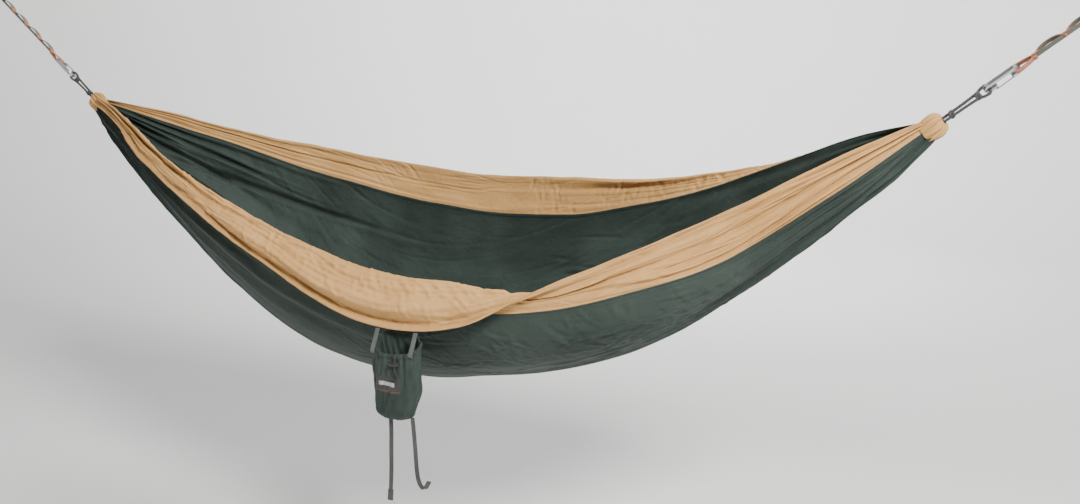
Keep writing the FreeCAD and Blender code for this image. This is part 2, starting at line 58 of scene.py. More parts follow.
# ---- Hang -------------------------------------------------------------------
RIDGE = 2.4
STRAP_ANGLE = math.radians(39)
EYE_REACH = 0.52
STRAP_TURN = math.radians(68)      # of each rope, carabiner and strap about its own line
COS = math.cos(STRAP_ANGLE)
SIN = math.sin(STRAP_ANGLE)
MIDDLE = np.array([RIDGE / 2 + EYE_REACH * COS, 0, -EYE_REACH * SIN])
SETBACK = -0.036           # where the panels end, along the strap's line
FLARE_POWER = 2.2
END_X = RIDGE / 2 + COS * SETBACK
PUFF = 1.12                # how far the cloth's own bulk spreads the panels' ends

# ---- Bed --------------------------------------------------------------------
STATION_X = (-1.0, -0.8, -0.55, -0.3, 0.0, 0.25, 0.43, 0.6, 0.8, 1.0)
FAR_RIM_Z = (-0.045, -0.095, -0.145, -0.180, -0.205, -0.200, -0.195, -0.170, -0.128, -0.078)
FAR_SEAM_Z = (-0.080, -0.145, -0.225, -0.280, -0.315, -0.300, -0.265, -0.215, -0.137, -0.052)
BOTTOM_Z = (-0.185, -0.340, -0.525, -0.645, -0.685, -0.645, -0.600, -0.530, -0.390, -0.220)
NEAR_SEAM_Z = (-0.060, -0.155, -0.255, -0.350, -0.430, -0.450, -0.425, -0.380, -0.300, -0.160)
NEAR_CREST_Z = (-0.035, -0.115, -0.210, -0.290, -0.370, -0.380, -0.395, -0.335, -0.245, -0.120)
NEAR_RIM_Z = (-0.060, -0.165, -0.270, -0.375, -0.480, -0.465, -0.370, -0.290, -0.190, -0.080)
FAR_RIM_Y = (0.300,) * 7 + (0.310, 0.350, 0.390)
FAR_SEAM_Y = (0.290,) * 10
BOTTOM_Y = (-0.040,) * 10
NEAR_SEAM_Y = (-0.275,) * 5 + (-0.280, -0.290) + (-0.300,) * 3
NEAR_CREST_Y = (-0.295,) * 6 + (-0.290,) + (-0.300,) * 3
NEAR_RIM_Y = (-0.335,) * 3 + (-0.340, -0.345, -0.345, -0.310, -0.280, -0.270, -0.270)

# Where each line meets the gathers: across (y), and square to the strap's line,
# at the left gather and at the right one.
FAR_RIM_END = ((0.008, 0.019), (0.017, 0.005))
FAR_SEAM_END = ((0.015, 0.007), (0.009, 0.018))
BOTTOM_END = ((0.0, -0.021), (0.0, -0.021))
NEAR_SEAM_END = ((-0.012, 0.002), (-0.012, 0.002))
NEAR_CREST_END = ((-0.017, 0.020), (-0.015, 0.011))
NEAR_RIM_END = ((-0.027, 0.005), (-0.012, 0.021))

CLOTH = 0.0009             # fabric thickness
CENTRE_WIDTH = 1.0
NEAR_WIDTH = 0.20
FAR_WIDTH = 0.13
HEM_WIDTH = 0.011
HEM_THICK = 0.0024
SEAM_THICK = 0.0022
BAND_COLUMN = 0.0011       # cloth per grid column of a hem or seam
ROWS = 480                 # grid lines from one gather to the other
CENTRE_COLUMNS = 330
SIDE_COLUMNS = 96

# ---- Straps and ropes -------------------------------------------------------
WEB_WIDTH = 0.020
WEB = 0.0019
LAYER = 0.0025
TACKS = (0.204, 0.269, 0.334, 0.399, 0.464)
TACK_WIDTH = 0.0178
TACK_DEPTH = 0.0046
TACK_STAND = 0.0004        # how far a tack's thread stands off the webbing
THREAD = 0.00042           # that thread's radius
LOOP_BULGE = 0.0100
EYE_R = 0.015
EYE_LEG = 0.0021           # each leg's distance from the strap's middle
EYE_LEG_FROM = 0.488
ROPE = 0.0065
KNOTS = (0.020, 0.080)
KNOT_SIZE = 0.00225
KNOT_ROPE = 0.0062         # the rope is pulled thinner in its knots
CARABINER_FROM = 0.094
CARABINER_LENGTH = 0.079
ROD = 0.008

# ---- Stuff sack -------------------------------------------------------------
SACK = (0.095, -0.350, -0.487)
SACK_A = 0.060
SACK_B = 0.026
SACK_DROP = 0.189
TAPER_FROM = 0.125
BASE_A = 0.050
BASE_SHIFT = -0.008
BASE_DEPTH = 0.023
MOUTH_BACK = 0.006
MOUTH_FRONT = 0.050
MOUTH_HEM = 0.011
HEM_PUFF = 0.0022          # how far the mouth's channel stands out
LABEL = (-0.047, 0.024, 0.103, 0.142)      # from x, to x, from drop, to drop
CORD = 0.0024
TAIL = 0.0015
TAIL_WIDTH = 0.010
TAB_WIDTH = 0.011
SACK_CLOTH = 0.0014
PIPING_R = 0.0013
LOCK_Y = -0.384
LOCK_Z = -0.556
SPRING_FROM = 0.0992       # the spring's ends, along the hammock
SPRING_TO = 0.1048
SPRING_R = 0.0029
SPRING_WIRE = 0.00035      # its wire's radius
SPRING_TURNS = 4

# ---- View -------------------------------------------------------------------
VIEW_AZIMUTH = math.radians(25.7)
VIEW_ELEVATION = math.radians(11)
VIEW_DISTANCE = 2.59
VIEW_TARGET = Vector((1.894, 0, -0.677))
FLOOR = -1.62


# ---- Places -----------------------------------------------------------------
def in_bed(x, y, z):
    """A point given from the middle of the bed's ridge line, in the frame."""
    return Vector((x, y, z)) + Vector(MIDDLE)


def by_strap(hand, s, across=0.0, y=0.0):
    """A point by a strap: s along it from the gather, across it in its plane, and y."""
    x = RIDGE / 2 + s * COS - across * SIN
    return in_bed(hand * x, y, s * SIN + across * COS)


def on_strap(hand, s, across=0.0, y=0.0):
    """The same for the pieces that are turned about the strap's line."""
    turned_across = across * math.cos(STRAP_TURN) + y * math.sin(STRAP_TURN)
    turned_y = y * math.cos(STRAP_TURN) - across * math.sin(STRAP_TURN)
    return by_strap(hand, s, turned_across, turned_y)


def turned_axes(hand):
    """A turned strap's directions: along it, across its webbing, and out of its face."""
    middle = on_strap(hand, 0)
    return (on_strap(hand, 1) - middle, on_strap(hand, 0, 1) - middle, on_strap(hand, 0, 0, 1) - middle)


# ---- Materials --------------------------------------------------------------
def colour(r, g, b):
    return (r, g, b, 1.0)


class Finish:
    """A material and its node tree, with short calls for the nodes that it uses."""

    def __init__(self, name):
        self.material = bpy.data.materials.new(name)
        self.material.use_nodes = True
        self.tree = self.material.node_tree
        self.surface = self.tree.nodes["Principled BSDF"]
        place = self.node("TexCoord")
        self.uv = place.outputs["UV"]
        self.place = place.outputs["Object"]

    def node(self, kind, inputs=None, **settings):
        """Adds a shader node, with its settings, and its inputs as values or sockets."""
        made = self.tree.nodes.new("ShaderNode" + kind)
        for key, value in settings.items():
            setattr(made, key, value)
        for key, value in (inputs or {}).items():
            if isinstance(value, bpy.types.NodeSocket):
                self.tree.links.new(value, made.inputs[key])
            else:
                made.inputs[key].default_value = value
        return made

    def calc(self, operation, a, b=0.0, c=0.0):
        return self.node("Math", {0: a, 1: b, 2: c}, operation=operation).outputs[0]

    def total(self, start, *terms):
        """The start plus each term, given as (socket, how many times)."""
        for value, times in terms:
            start = self.calc("ADD", start, self.calc("MULTIPLY", value, times))
        return start

    def folded(self, value):
        """Turns a noise's middle into sharp valleys."""
        return self.calc("ABSOLUTE", self.calc("SUBTRACT", value, 0.5))

    def blend(self, share, one, other):
        return self.node("Mix", {0: share, 6: one, 7: other}, data_type="RGBA").outputs[2]

    def ramp(self, value, low, high):
        """The value's way from low to high, as 0 to 1, with soft ends."""
        made = self.node("MapRange", {0: value, 1: low, 2: high}, interpolation_type="SMOOTHSTEP")
        return made.outputs[0]

    def noise(self, scale, detail=3.0, rough=0.5, place=None):
        place = self.place if place is None else place
        inputs = {"Vector": place, "Scale": scale, "Detail": detail, "Roughness": rough}
        return self.node("TexNoise", inputs).outputs[0]

    def stretched(self, place, scales):
        return self.node("Mapping", {0: place, 3: scales}).outputs[0]

    def weave(self, along, across):
        """A plain weave's over-and-under pattern, with that pitch each way, and the length along it."""
        parts = self.node("SeparateXYZ", {0: self.uv})
        warp = self.calc("SINE", self.calc("MULTIPLY", parts.outputs[0], 2 * math.pi / along))
        weft = self.calc("SINE", self.calc("MULTIPLY", parts.outputs[1], 2 * math.pi / across))
        return self.calc("MULTIPLY", warp, weft), parts.outputs[0]

    def finish(self, base, rough, height, distance, strength=1.0, **inputs):
        """Joins the colour, roughness and bump to the surface, and sets its other inputs."""
        bump = self.node("Bump", {"Height": height, "Strength": strength, "Distance": distance})
        self.tree.links.new(base, self.surface.inputs["Base Color"])
        self.tree.links.new(rough, self.surface.inputs["Roughness"])
        self.tree.links.new(bump.outputs[0], self.surface.inputs["Normal"])
        for key, value in inputs.items():
            self.surface.inputs[key.replace("_", " ")].default_value = value
        return self.material


def nylon(name, dark, light, thread_colour):
    """Thin plain-woven nylon, with fine creases along it, a soft sheen and stitched edges."""
    m = Finish(name)
    weave, along = m.weave(0.0016, 0.0016)
    streaks = m.folded(m.noise(1.0, 4.0, 0.6, m.stretched(m.uv, (15.0, 42.0, 1.0))))
    patches = m.noise(5.0, 4.0, 0.55)
    crumple = m.folded(m.noise(34.0, 5.0, 0.62))
    base = m.blend(m.ramp(patches, 0.32, 0.68), dark, light)
    edge = m.node("Attribute", attribute_name="edge").outputs["Fac"]
    dashes = m.calc("LESS_THAN", m.calc("FRACT", m.calc("DIVIDE", along, 0.0036)), 0.7)
    rows = m.calc("ADD", m.calc("COMPARE", edge, 0.0026, 0.0004), m.calc("COMPARE", edge, 0.0088, 0.0004))
    stitch = m.calc("MULTIPLY", rows, dashes)
    base = m.blend(m.calc("MULTIPLY", stitch, 0.8), base, thread_colour)
    rough = m.total(0.56, (patches, 0.18))
    height = m.total(0.0, (streaks, 0.9), (crumple, 2.6), (weave, 0.02), (stitch, -0.25))
    return m.finish(base, rough, height, 0.0022, 0.75, Sheen_Weight=0.02, Sheen_Roughness=0.5,
                    Specular_IOR_Level=0.16)


def webbing(name, one, other, patch, pitch):
    """Woven strap: ribs along it, picks across it, and dyed stretches one pitch apart."""
    m = Finish(name)
    weave, along = m.weave(0.0024, 0.0018)
    from_dye = m.folded(m.calc("FRACT", m.calc("DIVIDE", along, pitch)))
    grain = m.noise(160.0)
    base = m.blend(m.ramp(m.noise(22.0), 0.35, 0.65), one, other)
    base = m.blend(m.calc("MULTIPLY", m.ramp(from_dye, 0.30, 0.34), 0.85), base, patch)
    shade = m.calc("MULTIPLY", m.calc("ADD", weave, 1.0), 0.13)
    base = m.blend(shade, base, colour(0.02, 0.02, 0.018))
    rough = m.total(0.66, (grain, 0.2))
    height = m.total(0.0, (weave, 0.5), (grain, 0.5))
    return m.finish(base, rough, height, 0.0006, 0.8, Sheen_Weight=0.2)


def braid(name, dark, light, pitch):
    """A braided cord's sheath: strands crossing on two diagonals."""
    m = Finish(name)
    parts = m.node("SeparateXYZ", {0: m.uv})
    along = m.calc("MULTIPLY", parts.outputs[0], 2 * math.pi / pitch)
    around = m.calc("MULTIPLY", parts.outputs[1], 2 * math.pi * 4)
    one = m.calc("SINE", m.calc("ADD", along, around))
    other = m.calc("SINE", m.calc("SUBTRACT", along, around))
    strands = m.calc("MAXIMUM", one, other)
    fibres = m.noise(420.0, 2.0)
    base = m.blend(m.ramp(strands, -0.4, 0.9), dark, light)
    return m.finish(base, m.total(0.6, (fibres, 0.25)), m.total(strands, (fibres, 0.5)), 0.0004)


def metal(name, base, rough, grain):
    """Bare alloy: fine brushing, small dents and rubbed patches."""
    m = Finish(name)
    lines = m.noise(1.0, place=m.stretched(m.place, (30.0, 500.0, 30.0)))
    rubs = m.noise(60.0, 4.0, 0.6)
    worn = m.blend(m.ramp(rubs, 0.45, 0.75), base, colour(base[0] * 0.72, base[1] * 0.72, base[2] * 0.74))
    height = m.total(0.0, (lines, grain), (rubs, 0.6))
    return m.finish(worn, m.total(rough, (rubs, 0.22)), height, 0.0002, Metallic=1.0)


def plastic(name, base):
    """Moulded plastic with a fine spark-eroded grain and scuffs."""
    m = Finish(name)
    grain = m.noise(900.0, 2.0)
    scuffs = m.noise(90.0, 5.0, 0.7)
    tone = m.blend(m.ramp(scuffs, 0.55, 0.75), base, colour(base[0] + 0.03, base[1] + 0.03, base[2] + 0.03))
    return m.finish(tone, m.total(0.35, (scuffs, 0.25)), grain, 0.0001, 0.6)


def thread(name, one, other):
    """Twisted sewing thread, laid in tight stitches."""
    m = Finish(name)
    twist = m.node("TexWave", {"Vector": m.place, "Scale": 260.0, "Distortion": 2.0})
    fibres = m.noise(700.0, 2.0)
    return m.finish(m.blend(fibres, one, other), m.total(0.5, (fibres, 0.2)), twist.outputs[1], 0.0002, 0.5)


def studio_paint(name, base):
    """Matt, pale studio floor with a faint unevenness."""
    m = Finish(name)
    patches = m.noise(1.5)
    tone = m.blend(patches, base, colour(base[0] * 0.97, base[1] * 0.97, base[2] * 0.98))
    return m.finish(tone, m.total(0.8, (patches, 0.1)), patches, 0.001, 0.1)


GREEN = nylon("nylon_green", colour(0.0195, 0.0290, 0.0245), colour(0.031, 0.0445, 0.038),
              colour(0.015, 0.021, 0.018))
KHAKI = nylon("nylon_khaki", colour(0.42, 0.238, 0.085), colour(0.50, 0.290, 0.112),
              colour(0.30, 0.17, 0.07))
SACK_GREEN = nylon("sack_green", colour(0.019, 0.029, 0.025), colour(0.031, 0.0445, 0.039),
                   colour(0.014, 0.020, 0.018))
OLIVE = webbing("webbing_olive", colour(0.048, 0.042, 0.025), colour(0.080, 0.070, 0.044),
                colour(0.065, 0.058, 0.038), 0.065)
TAN = webbing("webbing_tan", colour(0.110, 0.070, 0.038), colour(0.165, 0.105, 0.060),
              colour(0.46, 0.13, 0.055), 0.065)
GREY_WEB = webbing("webbing_grey", colour(0.040, 0.050, 0.044), colour(0.070, 0.080, 0.073),
                   colour(0.060, 0.070, 0.064), 0.05)
BLACK_WEB = webbing("webbing_black", colour(0.018, 0.018, 0.017), colour(0.036, 0.036, 0.034),
                    colour(0.026, 0.026, 0.025), 0.05)
ROPE_BLACK = braid("rope_black", colour(0.010, 0.010, 0.011), colour(0.050, 0.050, 0.052), 0.008)
CORD_BLACK = braid("cord_black", colour(0.008, 0.008, 0.009), colour(0.034, 0.034, 0.036), 0.004)
ALLOY = metal("carabiner_alloy", colour(0.46, 0.46, 0.47), 0.18, 0.5)
STEEL = metal("gate_wire", colour(0.42, 0.43, 0.45), 0.16, 0.3)
SPRING = metal("spring_steel", colour(0.5, 0.5, 0.52), 0.2, 0.3)
PLASTIC = plastic("lock_plastic", colour(0.012, 0.012, 0.013))
ORANGE = thread("thread_orange", colour(0.62, 0.16, 0.06), colour(0.74, 0.26, 0.11))
LABEL_BLACK = webbing("label_black", colour(0.008, 0.008, 0.009), colour(0.016, 0.016, 0.017),
                      colour(0.012, 0.012, 0.012), 0.05)
LABEL_PALE = thread("label_pale", colour(0.24, 0.26, 0.25), colour(0.34, 0.36, 0.34))
LABEL_RUST = thread("label_rust", colour(0.11, 0.032, 0.018), colour(0.16, 0.05, 0.026))
PAPER = studio_paint("studio_floor", colour(0.90, 0.90, 0.89))


# ---- Mesh helpers -----------------------------------------------------------
def placed(name, data):
    """An object of that data, in the scene."""
    thing = bpy.data.objects.new(name, data)
    bpy.context.scene.collection.objects.link(thing)
    return thing


@contextlib.contextmanager
def editing(mesh):
    """Opens a mesh for edits to its faces and edges, and writes it back."""
    work = bmesh.new()
    work.from_mesh(mesh)
    yield work
    work.to_mesh(mesh)
    work.free()


def pairs(a, b):
    """Two sets of numbers side by side, each spread over the other's rows or columns."""
    return np.stack(np.broadcast_arrays(a, b), axis=-1)


def grid_piece(name, points, uv, material, wrap=False, capped=False, edge=None):
    """A mesh piece from a grid of points. With wrap its columns close on themselves, and
    then uv has one more column than the points."""
    rows, columns = points.shape[:2]
    i = np.arange(rows - 1)[:, None]
    j = np.arange(columns if wrap else columns - 1)[None, :]
    k = (j + 1) % columns
    quads = np.stack([i * columns + j, i * columns + k,
                      (i + 1) * columns + k, (i + 1) * columns + j], axis=-1).reshape(-1, 4)
    corners = np.stack([uv[i, j], uv[i, j + 1], uv[i + 1, j + 1], uv[i + 1, j]], axis=2).reshape(-1, 2)
    faces = quads.tolist()
    if capped:
        last = (rows - 1) * columns
        faces.append(list(range(columns))[::-1])
        faces.append(list(range(last, last + columns)))
        corners = np.concatenate([corners, np.zeros((2 * columns, 2))])
    mesh = bpy.data.meshes.new(name)
    mesh.from_pydata(points.reshape(-1, 3).tolist(), [], faces)
    layer = mesh.uv_layers.new(name="flat")
    layer.data.foreach_set("uv", corners.astype(np.float32).ravel())
    if edge is not None:
        attribute = mesh.attributes.new("edge", "FLOAT", "POINT")
        attribute.data.foreach_set("value", edge.astype(np.float32).ravel())
    mesh.polygons.foreach_set("use_smooth", [True] * len(mesh.polygons))
    if wrap:
        with editing(mesh) as work:
            bmesh.ops.recalc_face_normals(work, faces=work.faces)
    mesh.materials.append(material)
    return placed(name, mesh)


def thicken(piece, thickness):
    modifier = piece.modifiers.new("cloth", "SOLIDIFY")
    modifier.thickness = thickness
    modifier.offset = 0


def belong(piece, body=None, replaced=None):
    """Says which body a piece rides on and which CAD node it replaces."""
    if body:
        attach(piece, body)
    if replaced:
        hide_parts(replaced)


def lengths_along(points, axis):
    """How far each grid point is along its line, from the line's first point."""
    steps = np.linalg.norm(np.diff(points, axis=axis), axis=-1)
    start = np.zeros_like(np.take(steps, [0], axis=axis))
    return np.concatenate([start, np.cumsum(steps, axis=axis)], axis=axis)


def unit(vectors):
    """The same directions with a length of one."""
    return vectors / np.maximum(np.linalg.norm(vectors, axis=-1, keepdims=True), 1e-12)


def normals(points):
    return unit(np.cross(np.gradient(points, axis=0), np.gradient(points, axis=1)))


def smooth_between(a, b, slope_a, slope_b, t):
    """A place on the smooth line from a to b that leaves and arrives with those slopes."""
    return (a * (2 * t ** 3 - 3 * t ** 2 + 1) + slope_a * (t ** 3 - 2 * t ** 2 + t)
            + b * (3 * t ** 2 - 2 * t ** 3) + slope_b * (t ** 3 - t ** 2))


def smooth_places(points, count, axis):
    """That many places on smooth lines through the points along an axis."""
    last = points.shape[axis] - 1
    shares = np.linspace(0, last, count)
    i = np.minimum(shares.astype(int), last - 1)
    t = (shares - i).reshape([-1 if side == axis else 1 for side in range(points.ndim)])
    slopes = np.gradient(points, axis=axis)
    return smooth_between(points.take(i, axis), points.take(i + 1, axis),
                          slopes.take(i, axis), slopes.take(i + 1, axis), t)


def paced(points, count):
    return smooth_places(np.array([list(p) for p in points]), count, 0)


def spline_points(route, resolution):
    """The line that a cord follows, read from its NURBS spline."""
    curve = bpy.data.curves.new("route", "CURVE")
    curve.dimensions = "3D"
    curve.resolution_u = resolution
    spline = curve.splines.new("NURBS")
    spline.points.add(len(route) - 1)
    for point, place in zip(spline.points, route):
        point.co = (*place, 1.0)
    spline.order_u = 3
    spline.use_endpoint_u = True
    cord = placed("route", curve)
    bpy.context.view_layer.update()
    read = bpy.data.meshes.new_from_object(cord)
    line = np.array([v.co[:] for v in read.vertices])
    bpy.data.meshes.remove(read)
    bpy.data.objects.remove(cord)
    bpy.data.curves.remove(curve)
    return line


def tube_piece(name, line, section, material, closed=False):
    """A tube round a line of points. section gives its radius from the angle and the length."""
    sides = 20
    if closed:
        way = unit(np.roll(line, -1, axis=0) - np.roll(line, 1, axis=0))
    else:
        way = unit(np.gradient(line, axis=0))
    side = np.cross(way[0], (0.3, 0.9, 0.2))
    up = np.zeros_like(line)
    for i, forward in enumerate(way):
        side = unit(side - forward * np.dot(side, forward))
        up[i] = side
    other = np.cross(way, up)
    angle = np.linspace(0, 2 * math.pi, sides + 1)
    length = lengths_along(line, 0)
    radius = section(angle[None, :-1], length[:, None])
    ring = (up[:, None] * np.cos(angle[:-1])[None, :, None]
            + other[:, None] * np.sin(angle[:-1])[None, :, None])
    points = line[:, None] + ring * radius[..., None]
    uv = pairs(length[:, None], angle[None] / (2 * math.pi))
    if closed:
        points = np.concatenate([points, points[:1]])
        uv = np.concatenate([uv, uv[:1]])
    piece = grid_piece(name, points, uv, material, wrap=True, capped=not closed)
    if closed:
        weld(piece.data)
    return piece


def plain_round(radius):
    return lambda angle, length: radius + 0 * angle * length


def weld(mesh):
    """Joins the first and last rings of a closed tube or band."""
    with editing(mesh) as work:
        bmesh.ops.remove_doubles(work, verts=work.verts, dist=0.00002)
        bmesh.ops.recalc_face_normals(work, faces=work.faces)


def band_piece(name, line, across, width, thickness, material, lengths=None):
    """Webbing about a line of points: a flat band with rounded, slightly thicker edges.
    across is the band's sideways direction, one for all of it or one for each point."""
    line = np.array([list(p) for p in line])
    across = np.broadcast_to(np.array(across, dtype=float), line.shape)
    way = unit(np.gradient(line, axis=0))
    across = unit(across - way * np.sum(across * way, axis=1, keepdims=True))
    out = np.cross(way, across)
    shares = np.array([-1, -0.97, -0.88, -0.6, -0.3, 0, 0.3, 0.6, 0.88, 0.97, 1])
    rise = np.array([0, 0.8, 1.06, 1, 1, 1, 1, 1, 1.06, 0.8, 0])
    sideways = np.concatenate([shares, shares[-2:0:-1]]) * width / 2
    upward = np.concatenate([rise, -rise[-2:0:-1]]) * thickness / 2
    points = (line[:, None] + across[:, None] * sideways[None, :, None]
              + out[:, None] * upward[None, :, None])
    length = lengths_along(line, 0) if lengths is None else lengths
    v = np.append(sideways, sideways[0])
    uv = pairs(length[:, None], v[None])
    return grid_piece(name, points, uv, material, wrap=True, capped=True)


def soft(t):
    """A share's way from 0 to 1, slow at both ends."""
    return t * t * (3 - 2 * t)


def rumple(seed, u, v, cell_u, cell_v):
    """Smooth random heights from -1 to 1, in cells of that size along and across."""
    a = (u - u.min()) / cell_u
    b = (v - v.min()) / cell_v
    i = np.floor(a).astype(int)
    j = np.floor(b).astype(int)
    grid = np.random.default_rng(seed).uniform(-1, 1, (i.max() + 2, j.max() + 2))
    s = soft(a - i)
    t = soft(b - j)
    low = grid[i, j] * (1 - t) + grid[i, j + 1] * t
    high = grid[i + 1, j] * (1 - t) + grid[i + 1, j + 1] * t
    return low * (1 - s) + high * s


def press_crease(height, u, v, at, length, width, depth, tilt, bend=0.0):
    """One crease: a valley between two soft shoulders, dying out at both ends."""
    rows = np.abs(u[:, 0] - at[0]) < 2.2 * length + 2.2 * width
    du = u[rows] - at[0]
    dv = v[rows] - at[1]
    along = du * math.cos(tilt) + dv * math.sin(tilt)
    off = (dv * math.cos(tilt) - du * math.sin(tilt) + bend * along ** 2) / width
    height[rows] -= depth * np.exp(-(along / length) ** 2 - off ** 2) * (1 - 1.3 * off ** 2)


def press_creases(height, u, v, *sets):
    """Creases of random place and size. Each set is (seed, how many, zone, length, width,
    depth, tilt), with a zone as (from u, to u, from v, to v) and the rest as ranges."""
    for seed, count, zone, length, width, depth, tilt in sets:
        rng = np.random.default_rng(seed)
        for _ in range(count):
            at = (rng.uniform(zone[0], zone[1]), rng.uniform(zone[2], zone[3]))
            press_crease(height, u, v, at, rng.uniform(*length), rng.uniform(*width),
                         rng.uniform(*depth), rng.uniform(*tilt), rng.uniform(-0.6, 0.6))


# ---- Camera, lights and studio ----------------------------------------------
def aim(thing, place, target):
    thing.location = place
    thing.rotation_mode = "QUATERNION"
    thing.rotation_quaternion = (Vector(target) - Vector(place)).to_track_quat("-Z", "Y")


def add_camera():
    data = bpy.data.cameras.new("camera")
    data.lens = 35
    data.sensor_width = 36
    camera = placed("camera", data)
    bpy.context.scene.camera = camera
    back = Vector((math.sin(VIEW_AZIMUTH) * math.cos(VIEW_ELEVATION),
                   -math.cos(VIEW_AZIMUTH) * math.cos(VIEW_ELEVATION),
                   math.sin(VIEW_ELEVATION)))
    aim(camera, VIEW_TARGET + back * VIEW_DISTANCE, VIEW_TARGET)


def add_light(name, place, size, power, tint, target):
    data = bpy.data.lights.new(name, "AREA")
    data.shape = "DISK"
    data.size = size
    data.energy = power
    data.color = tint
    aim(placed(name, data), place, target)


def add_studio():
    """A pale floor that curves up into a backdrop all round, with soft lights."""
    reach = 6.0
    count = 96
    curve = 2.5
    profile = [(reach * share, 0.0) for share in (0.2, 0.4, 0.6, 0.8, 1.0)]
    for step in range(1, 17):
        angle = math.pi / 2 * step / 16
        profile.append((reach + curve * math.sin(angle), curve * (1 - math.cos(angle))))
    profile.append((reach + curve, 6.0))
    ring = np.linspace(0, 2 * math.pi, count, endpoint=False)
    points = np.array([[(1.6 + r * math.cos(a), r * math.sin(a), FLOOR + h) for a in ring]
                       for r, h in profile])
    uv = np.zeros((len(points), count + 1, 2))
    floor = grid_piece("studio_sweep", points, uv, PAPER, wrap=True)
    with editing(floor.data) as work:
        ring = [e for e in work.edges if e.is_boundary and e.verts[0].co.z < FLOOR + 0.01]
        bmesh.ops.contextual_create(work, geom=ring)
    world = bpy.data.worlds.new("studio")
    world.use_nodes = True
    background = world.node_tree.nodes["Background"]
    background.inputs[0].default_value = colour(0.94, 0.96, 1.0)
    background.inputs[1].default_value = 0.30
    bpy.context.scene.world = world
    target = (1.8, 0, -0.6)
    add_light("key", (4.5, -2.4, 1.9), 1.1, 375.0, (1.0, 0.97, 0.93), target)
    add_light("fill", (-1.6, -3.6, 1.2), 2.5, 8.0, (0.95, 0.97, 1.0), target)
    add_light("top", (2.3, 0.2, 2.8), 1.4, 80.0, (1.0, 1.0, 1.0), target)
    add_light("backdrop", (0.4, 3.2, 2.4), 3.0, 420.0, (1.0, 1.0, 1.0), (0.4, 8.5, 0.2))


# ---- Ropes ------------------------------------------------------------------
def braided(diameter, pitch):
    """A cord's radius, with the low ridges of its braid."""
    def radius(angle, length):
        turn = 2 * math.pi * length / pitch
        ridges = np.maximum(np.cos(4 * angle + turn), np.cos(4 * angle - turn))
        return diameter / 2 * (0.96 + 0.04 * ridges)
    return radius


def add_rope(hand, side):
    """One rope from the gather, round the carabiner and back, with its two knots."""
    bar = CARABINER_FROM + ROD
    stations = ((0.0005, -0.004), (0.076, -0.004), (0.090, -0.0098), (bar + 0.0036, -0.0105),
                (bar + 0.0036, 0.0105), (0.090, 0.0098), (0.076, 0.004), (0.0005, 0.004))
    route = [on_strap(hand, s, 0, y) for s, y in stations]
    line = spline_points(route, 60)
    rope = tube_piece(side + "_rope", line, braided(ROPE, 0.010), ROPE_BLACK)
    belong(rope, "hammock", side + "_suspension_rope")
    knots = [add_knot(hand, side, number + 1, s) for number, s in enumerate(KNOTS)]


def add_knot(hand, side, number, s):
    """An overhand knot pulled tight round both strands."""
    along, across, out = turned_axes(hand)
    turns = np.linspace(0, 2 * math.pi, 96, endpoint=False)
    middle = by_strap(hand, s)
    line = np.array([middle + across * (KNOT_SIZE * (math.sin(t) + 2 * math.sin(2 * t)))
                     + out * (KNOT_SIZE * (math.cos(t) - 2 * math.cos(2 * t)))
                     + along * (-1.7 * KNOT_SIZE * math.sin(3 * t)) for t in turns])
    name = "%s_knot_%d" % (side, number)
    knot = tube_piece(name, line, braided(KNOT_ROPE, 0.010), ROPE_BLACK, closed=True)
    belong(knot, "hammock")
    return knot


# ---- Webbing straps ---------------------------------------------------------
def follow_swing(piece):
    """Bakes a webbing piece's placing into its mesh."""
    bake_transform(piece)


def strap_line(hand, stations, count):
    return paced([on_strap(hand, s, 0, y) for s, y in stations], count)


def loop_stations():
    """The loop layer's places (s, y): round the carabiner's bar, then bulging between tacks."""
    bar = CARABINER_FROM + CARABINER_LENGTH - ROD / 2
    leg = 0.0064
    under = bar - ROD / 2 - 0.0048
    first = TACKS[0]
    places = [(first + 0.004, -LAYER), (first - 0.004, -LAYER), (first - 0.014, -0.0044),
              (bar + 0.002, -leg), (bar - 0.004, -leg)]
    for angle in (150, 120, 90, 60, 30):
        turn = math.radians(angle)
        places.append((bar - 0.005 - (bar - 0.005 - under) * math.sin(turn), leg * math.cos(turn)))
    places += [(bar - 0.004, leg), (bar + 0.002, leg), (first - 0.014, 0.0044),
               (first - 0.004, LAYER), (first + 0.004, LAYER)]
    for low, high in zip(TACKS, TACKS[1:]):
        span = high - low - 0.008
        for share in (0.12, 0.3, 0.5, 0.7, 0.88):
            lift = math.sin(math.pi * share) ** 0.7
            places.append((low + 0.004 + span * share, LAYER + (LOOP_BULGE - LAYER) * lift))
        places += [(high - 0.004, LAYER), (high + 0.004, LAYER)]
    return places


def tack_points(hand, s, y):
    """A zigzag of thread across the webbing, at one bar tack."""
    along, across = turned_axes(hand)[:2]
    middle = on_strap(hand, s, 0, y)
    count = 30
    points = []
    for step in range(count + 1):
        way = 0.5 if step % 2 else -0.5
        points.append(middle + across * (TACK_WIDTH * (step / count - 0.5)) + along * (TACK_DEPTH * way))
    return np.array([list(p) for p in points])


def add_tacks(hand, name, places, body, replaced):
    """Bar tacks at places (s, y), joined into one piece."""
    pieces = [tube_piece(name, tack_points(hand, s, y), plain_round(THREAD), ORANGE) for s, y in places]
    work = bmesh.new()
    for piece in pieces:
        work.from_mesh(piece.data)
    mesh = bpy.data.meshes.new(name)
    work.to_mesh(mesh)
    work.free()
    mesh.materials.append(ORANGE)
    for piece in pieces:
        bpy.data.objects.remove(piece)
    joined = placed(name, mesh)
    belong(joined, body, replaced)
    if not body:
        follow_swing(joined)


